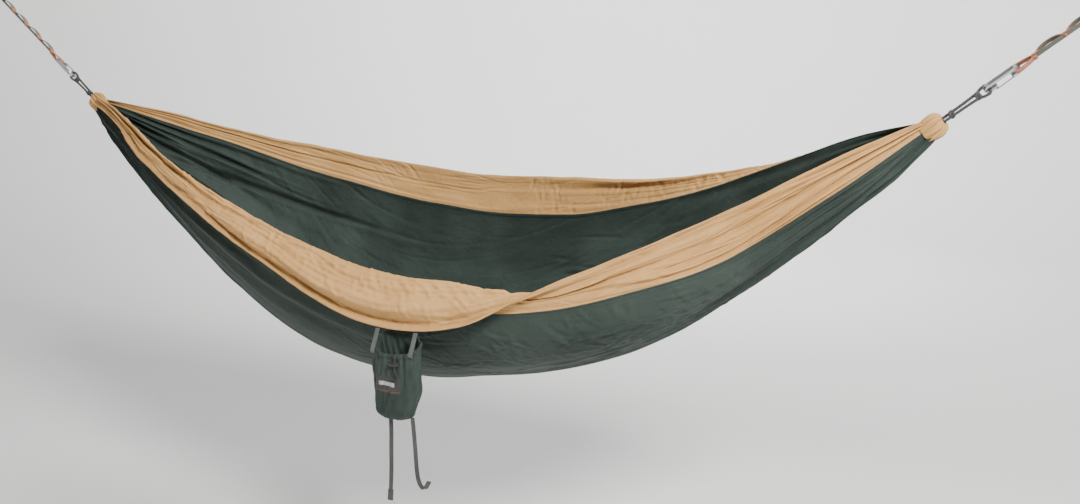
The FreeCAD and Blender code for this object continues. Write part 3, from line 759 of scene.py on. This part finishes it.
def add_strap(hand, side):
    across = turned_axes(hand)[1]
    main_line = strap_line(hand, [(0.197 + 0.03 * i, 0.0) for i in range(11)], 150)
    main = band_piece(side + "_strap", main_line, across, WEB_WIDTH, WEB, OLIVE)
    belong(main, replaced=side + "_strap_webbing")
    follow_swing(main)
    stations = loop_stations()
    loops_line = strap_line(hand, stations, 520)
    from_tack = paced([(max(place[0] - TACKS[0], -0.008), 0, 0) for place in stations], 520)[:, 0]
    loops = band_piece(side + "_loops", loops_line, across, WEB_WIDTH * 0.98, WEB, TAN, from_tack)
    belong(loops, replaced=side + "_strap_loops")
    follow_swing(loops)
    low = -WEB / 2 - TACK_STAND
    high = LAYER + WEB / 2 + TACK_STAND
    places = [(s, high) for s in TACKS] + [(s, low) for s in TACKS[1:]] + [(TACKS[0], -high)]
    add_tacks(hand, side + "_tacks", places, None, side + "_strap_tacks")
    add_eye(hand, side, across)


def add_eye(hand, side, across):
    """The tree-end eye: one band round the hole, its legs sewn to the strap between them."""
    ring = EYE_R + WEB / 2 + 0.0002
    turns = [math.radians(degrees) for degrees in range(150, -151, -20)]
    leg = [(EYE_LEG_FROM, EYE_LEG), (EYE_LEG_FROM + 0.004, EYE_LEG),
           (EYE_LEG_FROM + 0.009, EYE_LEG + 0.0003)]
    stations = leg + [(EYE_REACH + ring * math.cos(turn), ring * math.sin(turn)) for turn in turns]
    stations += [(s, -y) for s, y in leg[::-1]]
    eye = band_piece(side + "_eye", strap_line(hand, stations, 220), across, WEB_WIDTH, WEB, OLIVE)
    belong(eye, "anchors", side + "_strap_eye")
    out = EYE_LEG + WEB / 2 + TACK_STAND
    places = [(EYE_LEG_FROM + 0.0035, out), (EYE_LEG_FROM + 0.0035, -out)]
    add_tacks(hand, side + "_eye_tacks", places, "anchors", side + "_eye_tack")


# ---- Bed --------------------------------------------------------------------
def bed_line(half_widths, heights, ends, x):
    """One of the bed's lines at every x, passing smoothly through its stations."""
    knots = np.array((-END_X,) + STATION_X + (END_X,))
    places = []
    for hand, (y, across) in zip((-1, 1), ends):
        places.append(np.array(by_strap(hand, SETBACK, PUFF * across, PUFF * y)) - MIDDLE)
    flare = 1 - np.abs(np.array(STATION_X) / (RIDGE / 2)) ** FLARE_POWER
    stations = np.stack([np.array(STATION_X), np.array(half_widths) * flare, np.array(heights)], axis=1)
    points = np.concatenate([places[:1], stations, places[1:]])
    low = np.maximum(np.arange(len(knots)) - 1, 0)
    high = np.minimum(np.arange(len(knots)) + 1, len(knots) - 1)
    slopes = (points[high] - points[low]) / (knots[high] - knots[low])[:, None]
    i = np.clip(np.searchsorted(knots, x, "right") - 1, 0, len(knots) - 2)
    span = (knots[i + 1] - knots[i])[:, None]
    t = (x[:, None] - knots[i][:, None]) / span
    return smooth_between(points[i], points[i + 1], slopes[i] * span, slopes[i + 1] * span, t) + MIDDLE


def waver(seed, x, size, cell):
    """A small random up and down along an edge."""
    flat = np.zeros_like(x)
    slow = rumple(seed, x, flat, cell, 1.0)
    fast = rumple(seed + 1, x, flat, cell / 3, 1.0)
    hold = np.clip((END_X - np.abs(x)) / 0.25, 0, 1)
    return (size * (slow + 0.4 * fast) * hold)[:, None] * np.array([0, 0, 1.0])


def centre_grid(near_seam, bottom, far_seam):
    """The bed's middle: round at the bottom, and upright where it hangs from its seams."""
    near_count = CENTRE_COLUMNS * 45 // 100
    sides = []
    for seam, count in ((near_seam, near_count), (far_seam, CENTRE_COLUMNS - near_count + 1)):
        across = (seam - bottom) * np.array([0, 1.0, 0])
        drop = seam - bottom - across
        angle = np.linspace(math.pi / 2, 0, count)[None, :, None]
        sides.append(bottom[:, None] + across[:, None] * np.sin(angle)
                     + drop[:, None] * (1 - np.cos(angle)))
    return np.concatenate([sides[0], sides[1][:, -2::-1]], axis=1)


def near_grid(seam, crest, rim):
    """The near side panel: up from its seam, over its crest and on to its free rim."""
    rise = (seam + crest) / 2
    fall = (crest + rim) / 2
    fall[:, 1] -= 0.12 * np.linalg.norm(crest - rim, axis=1)
    controls = np.stack([seam, rise, crest, fall, rim], axis=1)
    return smooth_places(controls, SIDE_COLUMNS, 1)


def far_grid(seam, rim):
    """The far side panel, with a slight belly between its seam and its rim."""
    middle = (seam + rim) / 2 + np.array([0, 0.004, 0])
    return smooth_places(np.stack([seam, middle, rim], axis=1), SIDE_COLUMNS, 1)


def pleats(seed, u, share, width, from_end, layers):
    """Folds that fan out from a gather. Each layer is (how many, how far they reach, how deep)."""
    height = np.zeros_like(share)
    rng = np.random.default_rng(seed)
    for count, reach, depth in layers:
        spacing = width / count
        size = np.minimum(depth, 0.36 * spacing)
        a, b, c = rng.uniform(0, 1, 3)
        drift = 0.30 * np.sin(2 * math.pi * (0.37 * count * share + a))
        drift = drift + 0.35 * rumple(seed + count, u, share, 0.35, 1.5 / count)
        phase = 2 * math.pi * (count * share + drift + b)
        own = 0.62 + 0.38 * np.sin(2 * math.pi * (0.618 * count * share + c))
        fade = np.exp(-(from_end / (reach * own)) ** 2)
        ridge = np.sin(phase) + 0.3 * np.sin(2 * phase + 1.3)
        height += size * fade * ridge
    return height


def seam_fade(distance, over):
    """Flattens wrinkles as they come close to a seam."""
    return soft(np.clip(distance / over, 0, 1))


def fabric_piece(name, points, flat_width, shape, material, replaced):
    """One panel of the bed: its piece, and the wrinkled points that its hems and seams follow.
    shape gives the height of its wrinkles, from the lengths along it and across it, the
    shares across and the widths."""
    along = lengths_along(points[:, points.shape[1] // 2], 0)
    v = lengths_along(points, 1)
    width = v[:, -1:]
    share = v / width
    u = np.broadcast_to(along[:, None], share.shape).copy()
    points = points + normals(points) * shape(u, v, share, width)[..., None]
    edge = np.minimum(v, width - v)
    piece = grid_piece(name, points, pairs(u, share * flat_width), material, edge=edge)
    thicken(piece, CLOTH)
    belong(piece, "hammock", replaced)
    return piece, points


def double_band(name, strip, thickness, material):
    """A folded hem or felled seam: a thicker band on a narrow strip of the bed's surface."""
    facing = normals(strip)
    count = strip.shape[1]
    bulge = np.sin(np.linspace(0.12, math.pi - 0.12, count)) ** 0.35
    top = strip + facing * (thickness / 2 * bulge)[None, :, None]
    under = strip - facing * (thickness / 2 * bulge)[None, :, None]
    points = np.concatenate([top, under[:, ::-1]], axis=1)
    u = lengths_along(strip[:, count // 2], 0)
    column = np.concatenate([np.arange(count), np.arange(count)[::-1]])
    v = np.append(column, 0) * BAND_COLUMN
    uv = pairs(u[:, None], v[None])
    edge = np.tile((column + 1) * BAND_COLUMN, (len(points), 1))
    band = grid_piece(name, points, uv, material, wrap=True, capped=True, edge=edge)
    belong(band, "hammock")
    return band


def bed_lines(x):
    """The bed's lines from the far rim to the near one. All but the bottom waver a little."""
    return (bed_line(FAR_RIM_Y, FAR_RIM_Z, FAR_RIM_END, x) + waver(11, x, 0.0030, 0.16),
            bed_line(FAR_SEAM_Y, FAR_SEAM_Z, FAR_SEAM_END, x) + waver(21, x, 0.0022, 0.18),
            bed_line(BOTTOM_Y, BOTTOM_Z, BOTTOM_END, x),
            bed_line(NEAR_SEAM_Y, NEAR_SEAM_Z, NEAR_SEAM_END, x) + waver(31, x, 0.0020, 0.18),
            bed_line(NEAR_CREST_Y, NEAR_CREST_Z, NEAR_CREST_END, x) + waver(41, x, 0.0024, 0.15),
            bed_line(NEAR_RIM_Y, NEAR_RIM_Z, NEAR_RIM_END, x) + waver(51, x, 0.0022, 0.17))


def centre_wrinkles(u, v, share, width):
    whole = u[-1, 0]
    height = pleats(3, u, share, width, u, ((27, 0.30, 0.005), (14, 0.62, 0.009), (7, 1.05, 0.011)))
    height += pleats(8, u, share, width, whole - u,
                     ((29, 0.30, 0.005), (13, 0.58, 0.009), (6, 0.95, 0.011)))
    height += 0.0022 * rumple(101, u, v, 0.30, 0.075) + 0.0011 * rumple(102, u, v, 0.16, 0.030)
    height += 0.0006 * rumple(103, u, v, 0.05, 0.014)
    top = float(width.max())
    press_creases(
        height, u, v,
        (201, 120, (0.1, whole - 0.1, 0.02, top), (0.06, 0.22),
         (0.004, 0.009), (0.0004, 0.0012), (-0.14, 0.14)),
        (202, 80, (1.45, 2.30, 0.03, 0.16), (0.015, 0.05),
         (0.006, 0.012), (0.0012, 0.0026), (0.5, 1.5)),
        (204, 60, (1.30, 2.40, 0.02, 0.24), (0.03, 0.09),
         (0.004, 0.008), (0.0012, 0.0026), (-0.5, 0.5)),
        (203, 40, (1.6, 2.3, 0.55, 0.85), (0.03, 0.09),
         (0.005, 0.010), (0.0014, 0.0030), (-0.5, 0.1)))
    below_far_seam = width - v
    press_crease(height, u, below_far_seam, (0.58, 0.105), 0.36, 0.012, 0.0120, 0.02)
    press_crease(height, u, below_far_seam, (0.42, 0.055), 0.22, 0.009, 0.0070, 0.05)
    press_crease(height, u, below_far_seam, (1.24, 0.29), 0.20, 0.012, 0.0100, 0.08)
    press_crease(height, u, below_far_seam, (1.02, 0.34), 0.16, 0.010, 0.0070, 0.10)
    return height * seam_fade(np.minimum(v, width - v), 0.016)


def near_wrinkles(u, v, share, width):
    whole = u[-1, 0]
    height = pleats(13, u, share, width, u, ((8, 0.45, 0.005), (4, 1.0, 0.009)))
    height += pleats(17, u, share, width, whole - u, ((8, 0.35, 0.003), (3, 1.0, 0.0045)))
    bunch = np.clip(NEAR_WIDTH / width - 1, 0, 1.4)
    folds = np.sin(2 * math.pi * (3.6 * share + 0.9 * rumple(301, u, share, 0.34, 0.3)))
    size = np.minimum(0.0048, 0.17 * width / 3.6) * (0.3 + np.sqrt(bunch))
    height += size * (0.75 + 0.5 * rumple(304, u, share, 0.25, 0.25)) * folds
    fine = np.sin(2 * math.pi * (12.5 * share + 0.8 * rumple(302, u, share, 0.12, 0.16)))
    height += np.minimum(0.0016, 0.12 * width / 12.5) * fine
    height += 0.0026 * rumple(303, u, v, 0.075, 0.026) + 0.0014 * rumple(306, u, v, 0.032, 0.013)
    top = float(width.max())
    press_creases(
        height, u, v,
        (311, 110, (0.15, whole - 0.15, 0.01, top), (0.03, 0.14),
         (0.003, 0.007), (0.0008, 0.0020), (-0.16, 0.16)),
        (312, 60, (0.72, 1.30, 0.06, 0.125), (0.010, 0.028),
         (0.003, 0.006), (0.0016, 0.0034), (0.9, 1.9)),
        (314, 170, (0.25, 1.45, 0.01, top), (0.015, 0.06),
         (0.003, 0.007), (0.0014, 0.0034), (-0.9, 1.6)),
        (315, 90, (1.45, whole - 0.2, 0.01, top), (0.015, 0.05),
         (0.003, 0.006), (0.0010, 0.0022), (-0.4, 0.9)))
    valley = np.exp(-((u - 0.45) / 0.24) ** 2) * np.exp(-((share - 0.58) / 0.06) ** 2)
    height += np.minimum(0.012, 0.20 * width) * valley
    press_creases(
        height, u, v,
        (313, 26, (1.30, 1.52, 0.05, 0.14), (0.02, 0.05),
         (0.003, 0.007), (0.0012, 0.0026), (0.3, 0.9)))
    press_crease(height, u, v, (0.26, 0.075), 0.13, 0.009, 0.0100, 0.10)
    flopped = np.exp(-((u - 1.20) / 0.42) ** 4)
    fold_at = 0.75 + 0.02 * rumple(305, u, share, 0.3, 2.0)
    height -= 0.0150 * flopped * np.exp(-((share - fold_at) / 0.10) ** 2)
    height += 0.0140 * flopped * np.exp(-((share - fold_at - 0.16) / 0.06) ** 2)
    folded = np.clip((0.43 + 1.2 - u * 0.86) / 0.15, 0, 1)
    height *= 1 - 0.7 * folded * np.exp(-((share - 0.36) / 0.07) ** 2)
    height *= seam_fade(v, 0.012)
    return height * (0.35 + 0.65 * seam_fade(width - v, 0.010))


def far_wrinkles(u, v, share, width):
    whole = u[-1, 0]
    height = pleats(23, u, share, width, u, ((8, 0.3, 0.003), (4, 0.8, 0.005)))
    height += pleats(27, u, share, width, whole - u, ((9, 0.3, 0.003), (4, 0.9, 0.005)))
    height += 0.0020 * rumple(401, u, v, 0.18, 0.05) + 0.0014 * rumple(402, u, v, 0.06, 0.020)
    top = float(width.max())
    press_creases(
        height, u, v,
        (411, 60, (0.15, whole - 0.15, 0.01, top), (0.03, 0.12),
         (0.003, 0.007), (0.0006, 0.0016), (-0.16, 0.16)),
        (412, 34, (1.36, 1.50, 0.0, 0.12), (0.012, 0.035),
         (0.004, 0.007), (0.0015, 0.0032), (1.1, 2.0)),
        (413, 80, (1.55, 2.20, 0.0, 0.09), (0.010, 0.030),
         (0.004, 0.007), (0.0018, 0.0036), (0.6, 2.4)),
        (414, 10, (0.86, 0.98, 0.03, 0.11), (0.02, 0.05),
         (0.004, 0.006), (0.0014, 0.0026), (-0.9, -0.5)))
    rolled = np.exp(-((u - 1.66) / 0.17) ** 2)
    height += 0.008 * rolled * np.exp(-((share - 0.93) / 0.13) ** 2)
    height -= 0.007 * rolled * np.exp(-((share - 0.70) / 0.07) ** 2)
    height *= seam_fade(v, 0.012)
    return height * (0.35 + 0.65 * seam_fade(width - v, 0.008))


def hem_columns(points):
    """How many of a panel's last columns its hem takes."""
    across = lengths_along(points, 1)
    from_rim = across[:, -1:] - across
    return max(4, int(np.sum(np.median(from_rim, axis=0) < HEM_WIDTH)))


def add_bed():
    share = np.linspace(-1, 1, ROWS)
    x = END_X * (0.72 * share + 0.28 * np.sin(share * math.pi / 2))
    far_rim, far_seam, bottom, near_seam, near_crest, near_rim = bed_lines(x)
    centre_piece, centre = fabric_piece("bed_centre", centre_grid(near_seam, bottom, far_seam),
                                        CENTRE_WIDTH, centre_wrinkles, GREEN, "centre_panel")
    near_piece, near = fabric_piece("bed_near_side", near_grid(near_seam, near_crest, near_rim),
                                    NEAR_WIDTH, near_wrinkles, KHAKI, "near_side_panel")
    far_piece, far = fabric_piece("bed_far_side", far_grid(far_seam, far_rim),
                                  FAR_WIDTH, far_wrinkles, KHAKI, "far_side_panel")
    near_hem = double_band("near_rim_hem", near[:, -hem_columns(near):], HEM_THICK, KHAKI)
    far_hem = double_band("far_rim_hem", far[:, -hem_columns(far):], HEM_THICK, KHAKI)
    near_strip = np.concatenate([centre[:, 2::-1], near[:, 1:4]], axis=1)
    far_strip = np.concatenate([centre[:, -3:], far[:, 1:4]], axis=1)
    near_fold = double_band("near_seam_fold", near_strip, SEAM_THICK, GREEN)
    far_fold = double_band("far_seam_fold", far_strip, SEAM_THICK, GREEN)


def add_ruffle(hand, side, seed):
    """The end channel, bunched tight on the rope: uneven folds that flare out at their ends."""
    along = Vector((hand * COS, 0, SIN))
    across = Vector((-hand * SIN, 0, COS))
    profile = paced([(-0.046, 0.0215, 0), (-0.038, 0.0232, 0), (-0.029, 0.0242, 0), (-0.019, 0.0240, 0),
                     (-0.010, 0.0215, 0), (-0.003, 0.0165, 0), (0.000, 0.0105, 0), (-0.004, 0.0060, 0)], 70)
    columns = 260
    angle = np.linspace(0, 2 * math.pi, columns, endpoint=False)[None]
    rng = np.random.default_rng(seed)
    a, b, c, d = rng.uniform(0, 2 * math.pi, 4)
    s = profile[:, :1]
    r = profile[:, 1:2]
    drift = 1.1 * np.sin(angle + a) + 0.8 * np.sin(2 * angle + b) + 0.4 * np.sin(3 * angle + c)
    lobes = np.abs(np.sin(5.5 * angle + drift + 12 * s)) ** 0.55
    small = np.abs(np.sin(9.5 * angle + 2 * drift + c - 30 * s)) ** 0.7
    ends = 0.0026 * np.sin(2 * angle + d) + 0.0024 * np.sin(5 * angle + 2 * drift)
    flare = 0.6 + 0.4 * np.clip((s + 0.040) / 0.018, 0, 1)
    radius = r * (0.98 + flare * (0.38 * (lobes - 0.78) + 0.12 * (small - 0.6)))
    reach = s + ends * np.clip((s + 0.046) / 0.03, 0, 1) * np.clip(radius / 0.02, 0, 1)
    middle = np.array(by_strap(hand, 0))
    points = (middle + np.array(along) * reach[..., None]
              + np.array(across) * (radius * np.sin(angle))[..., None]
              + np.array((0, 1.0, 0)) * (radius * np.cos(angle))[..., None])
    v = np.linspace(0, 0.6, columns + 1)[None]
    uv = pairs(s * 1.5, v)
    edge = np.full(points.shape[:2], 0.05)
    ruffle = grid_piece(side + "_ruffle", points, uv, KHAKI, wrap=True, capped=True, edge=edge)
    ruffle.data.materials.append(GREEN)
    for face in ruffle.data.polygons:
        turn = math.degrees(math.atan2((face.center - Vector(middle)).dot(across), face.center.y)) % 360
        face.material_index = 1 if turn > 262 or turn < 8 else 0
    belong(ruffle, "hammock", side + "_gathered_hem")


# ---- Stuff sack -------------------------------------------------------------
def sack_form(angle, drop):
    """A place on the sagging sack's outer face, for an angle round it and a drop."""
    taper = np.clip((drop - TAPER_FROM) / (SACK_DROP - TAPER_FROM), 0, 1) ** 1.6
    a = SACK_A + (BASE_A - SACK_A) * taper
    b = SACK_B * (1 - 0.10 * taper)
    cosine = np.cos(angle)
    sine = np.sin(angle)
    full = 1 + 0.035 * np.sin(math.pi * np.clip(drop / SACK_DROP, 0, 1))
    crease = np.exp(-((cosine - 0.52) / 0.06) ** 2) * (sine < 0) * np.exp(-((drop - 0.085) / 0.045) ** 2)
    dent = np.exp(-((cosine + 0.15) / 0.35) ** 2) * (sine < 0) * np.exp(-((drop - 0.160) / 0.02) ** 2)
    waves = 0.0014 * np.sin(7 * angle + 40 * drop) + 0.0010 * np.sin(11 * angle - 65 * drop + 1)
    fine = 0.0009 * np.sin(17 * angle + 90 * drop + 3 * np.sin(3 * angle))
    top = np.exp(-np.clip(drop - mouth_drop(sine), 0, 1) / 0.020)
    gathers = 0.0019 * np.abs(np.sin(15 * angle + 0.8 * np.sin(3 * angle))) * top
    push = waves + fine + gathers - 0.0050 * crease - 0.0022 * dent
    x = SACK[0] + BASE_SHIFT * taper + (a * full + push) * cosine
    y = SACK[1] + (b * full + push) * sine
    z = SACK[2] - drop + 0 * angle
    return np.stack(np.broadcast_arrays(x, y, z), axis=-1) + MIDDLE


def mouth_drop(sine):
    """How far the mouth's edge hangs below the rim, from its back to its front."""
    return MOUTH_BACK + (MOUTH_FRONT - MOUTH_BACK) * (1 - sine) / 2


def add_sack():
    columns = 240
    angle = np.linspace(0, 2 * math.pi, columns, endpoint=False)[None]
    share = np.linspace(0, 1, 120)[:, None]
    top = mouth_drop(np.sin(angle))
    drop = top + (SACK_DROP - top) * share
    points = sack_form(angle, drop)
    around = np.linspace(0, 0.29, columns + 1)[None]
    down = share * SACK_DROP
    uv = pairs(down, around)
    edge = np.minimum(drop - top, SACK_DROP - drop)
    shell = grid_piece("sack_side", points, uv, SACK_GREEN, wrap=True, edge=edge)
    thicken(shell, SACK_CLOTH)
    add_sack_base(angle, around)
    add_mouth_hem(angle, around)
    add_piping(angle)
    belong(shell, "sack", "sack_shell")
    add_label()
    for number, x in enumerate((-0.051, 0.051)):
        add_tab(number + 1, x)


def add_sack_base(angle, around):
    """The round base panel, bellied down by its own weight."""
    share = np.linspace(0, 1, 40)[:, None]
    turn = share * math.pi / 2
    rim = sack_form(angle, np.full_like(angle, SACK_DROP))
    middle = np.array(in_bed(SACK[0] + BASE_SHIFT, SACK[1], SACK[2] - SACK_DROP))
    inward = np.cos(turn * 0.98)[..., None]
    points = middle + (rim - middle) * inward
    puckers = 0.0011 * np.sin(14 * angle + 2 * np.sin(2 * angle)) * np.sin(math.pi * share)
    points[..., 2] -= BASE_DEPTH * np.sin(turn) + puckers
    uv = pairs(share * 0.06, around)
    edge = np.broadcast_to(share * 0.06, points.shape[:2])
    base = grid_piece("sack_bottom", points, uv, SACK_GREEN, wrap=True, edge=edge)
    with editing(base.data) as work:
        low = min(v.co.z for v in work.verts)
        ring = [e for e in work.edges if e.is_boundary and e.verts[0].co.z < low + 0.003]
        bmesh.ops.contextual_create(work, geom=ring)
        bmesh.ops.recalc_face_normals(work, faces=work.faces)
    thicken(base, SACK_CLOTH)
    belong(base, "sack", "sack_base")


def add_mouth_hem(angle, around):
    """The drawcord's channel: a puffed band round the mouth, puckered by the cord."""
    share = np.linspace(0, 1, 12)[:, None]
    low = mouth_drop(np.sin(angle)) - 0.0008
    outer = sack_form(angle, low + (MOUTH_HEM + 0.0008) * share)
    centre = np.array(in_bed(SACK[0], SACK[1], 0)) * np.array([1, 1, 0])
    facing = unit((outer - centre) * np.array([1, 1, 0]) / np.array([SACK_A ** 2, SACK_B ** 2, 1]))
    rounded = np.sin(math.pi * np.clip(share, 0.04, 0.96))[..., None] ** 0.5
    front = outer + facing * rounded * HEM_PUFF
    back = outer - facing * 0.0012
    points = np.concatenate([front, back[::-1], front[:1]])
    share_uv = np.concatenate([share, share[::-1], share[:1]])
    edge = np.broadcast_to(np.minimum(share_uv, 1 - share_uv) * MOUTH_HEM, points.shape[:2])
    uv = pairs(share_uv * 0.02, around)
    hem = grid_piece("sack_mouth_channel", points, uv, SACK_GREEN, wrap=True, edge=edge)
    weld(hem.data)
    belong(hem, "sack", "sack_mouth_hem")


def add_piping(angle):
    """A narrow bound seam between the sack's side and its base."""
    line = sack_form(angle, np.full_like(angle, SACK_DROP))[0]
    piping = tube_piece("sack_piping", line, plain_round(PIPING_R), SACK_GREEN, closed=True)
    belong(piping, "sack")


def front_angle(x):
    return -np.arccos(np.clip(x / SACK_A, -1, 1))


def front_patch(name, x_from, x_to, drop_from, drop_to, lift, material):
    """A thin patch that follows the sack's front."""
    rows = 24
    columns = 60
    share = np.linspace(0, 1, rows)[:, None]
    side = np.linspace(-1, 1, columns)[None]
    x = (x_from + x_to) / 2 + (x_to - x_from) / 2 * side + 0 * share
    drop = drop_from + (drop_to - drop_from) * share + 0 * side
    angle = front_angle(x)
    surface = sack_form(angle, drop)
    facing = normals(surface)
    if facing[..., 1].mean() > 0:
        facing = -facing
    tuck = np.clip((1 - np.abs(side)) / 0.05, 0, 1) * np.clip(np.minimum(share, 1 - share) / 0.08, 0, 1)
    front = surface + facing * (0.0003 + lift * (0.35 + 0.65 * tuck))[..., None]
    back = surface + facing * 0.0001
    points = np.concatenate([front, back[:, ::-1]], axis=1)
    u = np.concatenate([x, x[:, ::-1], x[:, :1]], axis=1)
    v = np.concatenate([drop, drop[:, ::-1], drop[:, :1]], axis=1)
    uv = pairs(u, v)
    return grid_piece(name, points, uv, material, wrap=True, capped=True)


def add_label():
    """A plain black woven label with a rust stripe and a plain pale bar."""
    x_from, x_to, drop_from, drop_to = LABEL
    label = front_patch("sack_label_patch", x_from, x_to, drop_from, drop_to, 0.0008, LABEL_BLACK)
    belong(label, "sack", "sack_label")
    stripe = front_patch("sack_label_stripe", x_from + 0.002, x_to - 0.002, drop_to - 0.0050,
                         drop_to - 0.0032, 0.0014, LABEL_RUST)
    belong(stripe, "sack")
    bar = front_patch("sack_label_bar", x_from + 0.014, x_to - 0.014, drop_from + 0.012,
                      drop_to - 0.017, 0.0014, LABEL_PALE)
    belong(bar, "sack")


def add_tab(number, x):
    """A short webbing tab from the hammock's rim down to the mouth's channel."""
    low = MOUTH_BACK + (MOUTH_FRONT - MOUTH_BACK) * 0.86
    stations = ((0.001, 0.000), (-0.006, 0.014), (-0.014, low * 0.66), (-0.0225, low),
                (-0.0235, low + 0.008))
    line = paced([in_bed(SACK[0] + x, SACK[1] + y, SACK[2] - drop) for y, drop in stations], 40)
    tab = band_piece("sack_tab_%d" % number, line, (1, 0, 0), TAB_WIDTH, TAIL, GREY_WEB)
    belong(tab, "sack", "sack_hang_tabs" if number == 1 else None)


def add_drawcord():
    stations = ((0.1083, -0.3786, -0.541), (0.1083, -0.384, -0.543), (0.1083, -0.384, -0.577),
                (0.1025, -0.384, -0.583), (0.1025, -0.384, -0.592), (0.1175, -0.384, -0.592),
                (0.1175, -0.384, -0.583), (0.1117, -0.384, -0.577), (0.1117, -0.384, -0.543),
                (0.1117, -0.3786, -0.541))
    route = [in_bed(*place) for place in stations]
    line = spline_points(route, 30)
    cord = tube_piece("sack_cord", line, braided(CORD, 0.004), CORD_BLACK)
    belong(cord, "sack", "sack_drawcord")


def add_tail(side, stations, fold_width, turn_from, turn_to):
    """A compression strap's loose end: a limp band, its end folded double and sewn. It
    twists from one heading to the other, in degrees, on its way down."""
    route = [in_bed(x, SACK[1], z) for x, z in stations]
    line = spline_points(route, 24)
    share = np.linspace(0, 1, len(line))[:, None]
    turn = np.radians(turn_from + (turn_to - turn_from) * share)
    across = np.concatenate([np.cos(turn), np.sin(turn), 0 * turn], axis=1)
    tail = band_piece(side + "_tail", line, across, TAIL_WIDTH, TAIL, BLACK_WEB)
    last = int(len(line) * 0.80)
    fold = band_piece(side + "_tail_fold", line[last:], across[last:], fold_width, TAIL * 2.3, BLACK_WEB)
    belong(tail, "sack", side + "_compression_strap")
    belong(fold, "sack")


def add_tails():
    left = ((0.0740, -0.7000), (0.0745, -0.735), (0.0725, -0.775), (0.072, -0.815), (0.070, -0.850),
            (0.0685, -0.872), (0.0675, -0.888), (0.066, -0.904))
    right = ((0.133, -0.690), (0.136, -0.722), (0.1385, -0.760), (0.1405, -0.800), (0.143, -0.832),
             (0.149, -0.850), (0.159, -0.860), (0.168, -0.852), (0.174, -0.838))
    add_tail("left", left, 0.0135, 44, 12)
    add_tail("right", right, 0.011, 52, 40)


def add_lock_spring():
    """The cord lock's coil spring."""
    share = np.linspace(0, 1, 200)
    turn = 2 * math.pi * SPRING_TURNS * share
    x = SPRING_FROM + SPRING_WIRE + (SPRING_TO - SPRING_FROM - 2 * SPRING_WIRE) * share
    line = np.stack([x, LOCK_Y + SPRING_R * np.cos(turn), LOCK_Z + SPRING_R * np.sin(turn)], axis=1)
    spring = tube_piece("lock_spring", line + MIDDLE, plain_round(SPRING_WIRE), SPRING)
    belong(spring, "cord_lock", "cord_lock_spring")
    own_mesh(spring)


def finish_cad_nodes():
    """The carabiners and the cord lock keep their designed shapes, with their real finishes."""
    finishes = {"left_carabiner_body": ALLOY, "right_carabiner_body": ALLOY,
                "left_carabiner_gate": STEEL, "right_carabiner_gate": STEEL,
                "cord_lock_body": PLASTIC, "cord_lock_button": PLASTIC}
    for name, material in finishes.items():
        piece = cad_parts[name]
        for slot in piece.material_slots:
            slot.material = material


add_camera()
for hand, side in ((-1, "left"), (1, "right")):
    add_rope(hand, side)
add_drawcord()
add_tails()
add_studio()
for hand, side in ((-1, "left"), (1, "right")):
    add_strap(hand, side)
    add_ruffle(hand, side, 70 + hand)
add_bed()
add_sack()
add_lock_spring()
finish_cad_nodes()
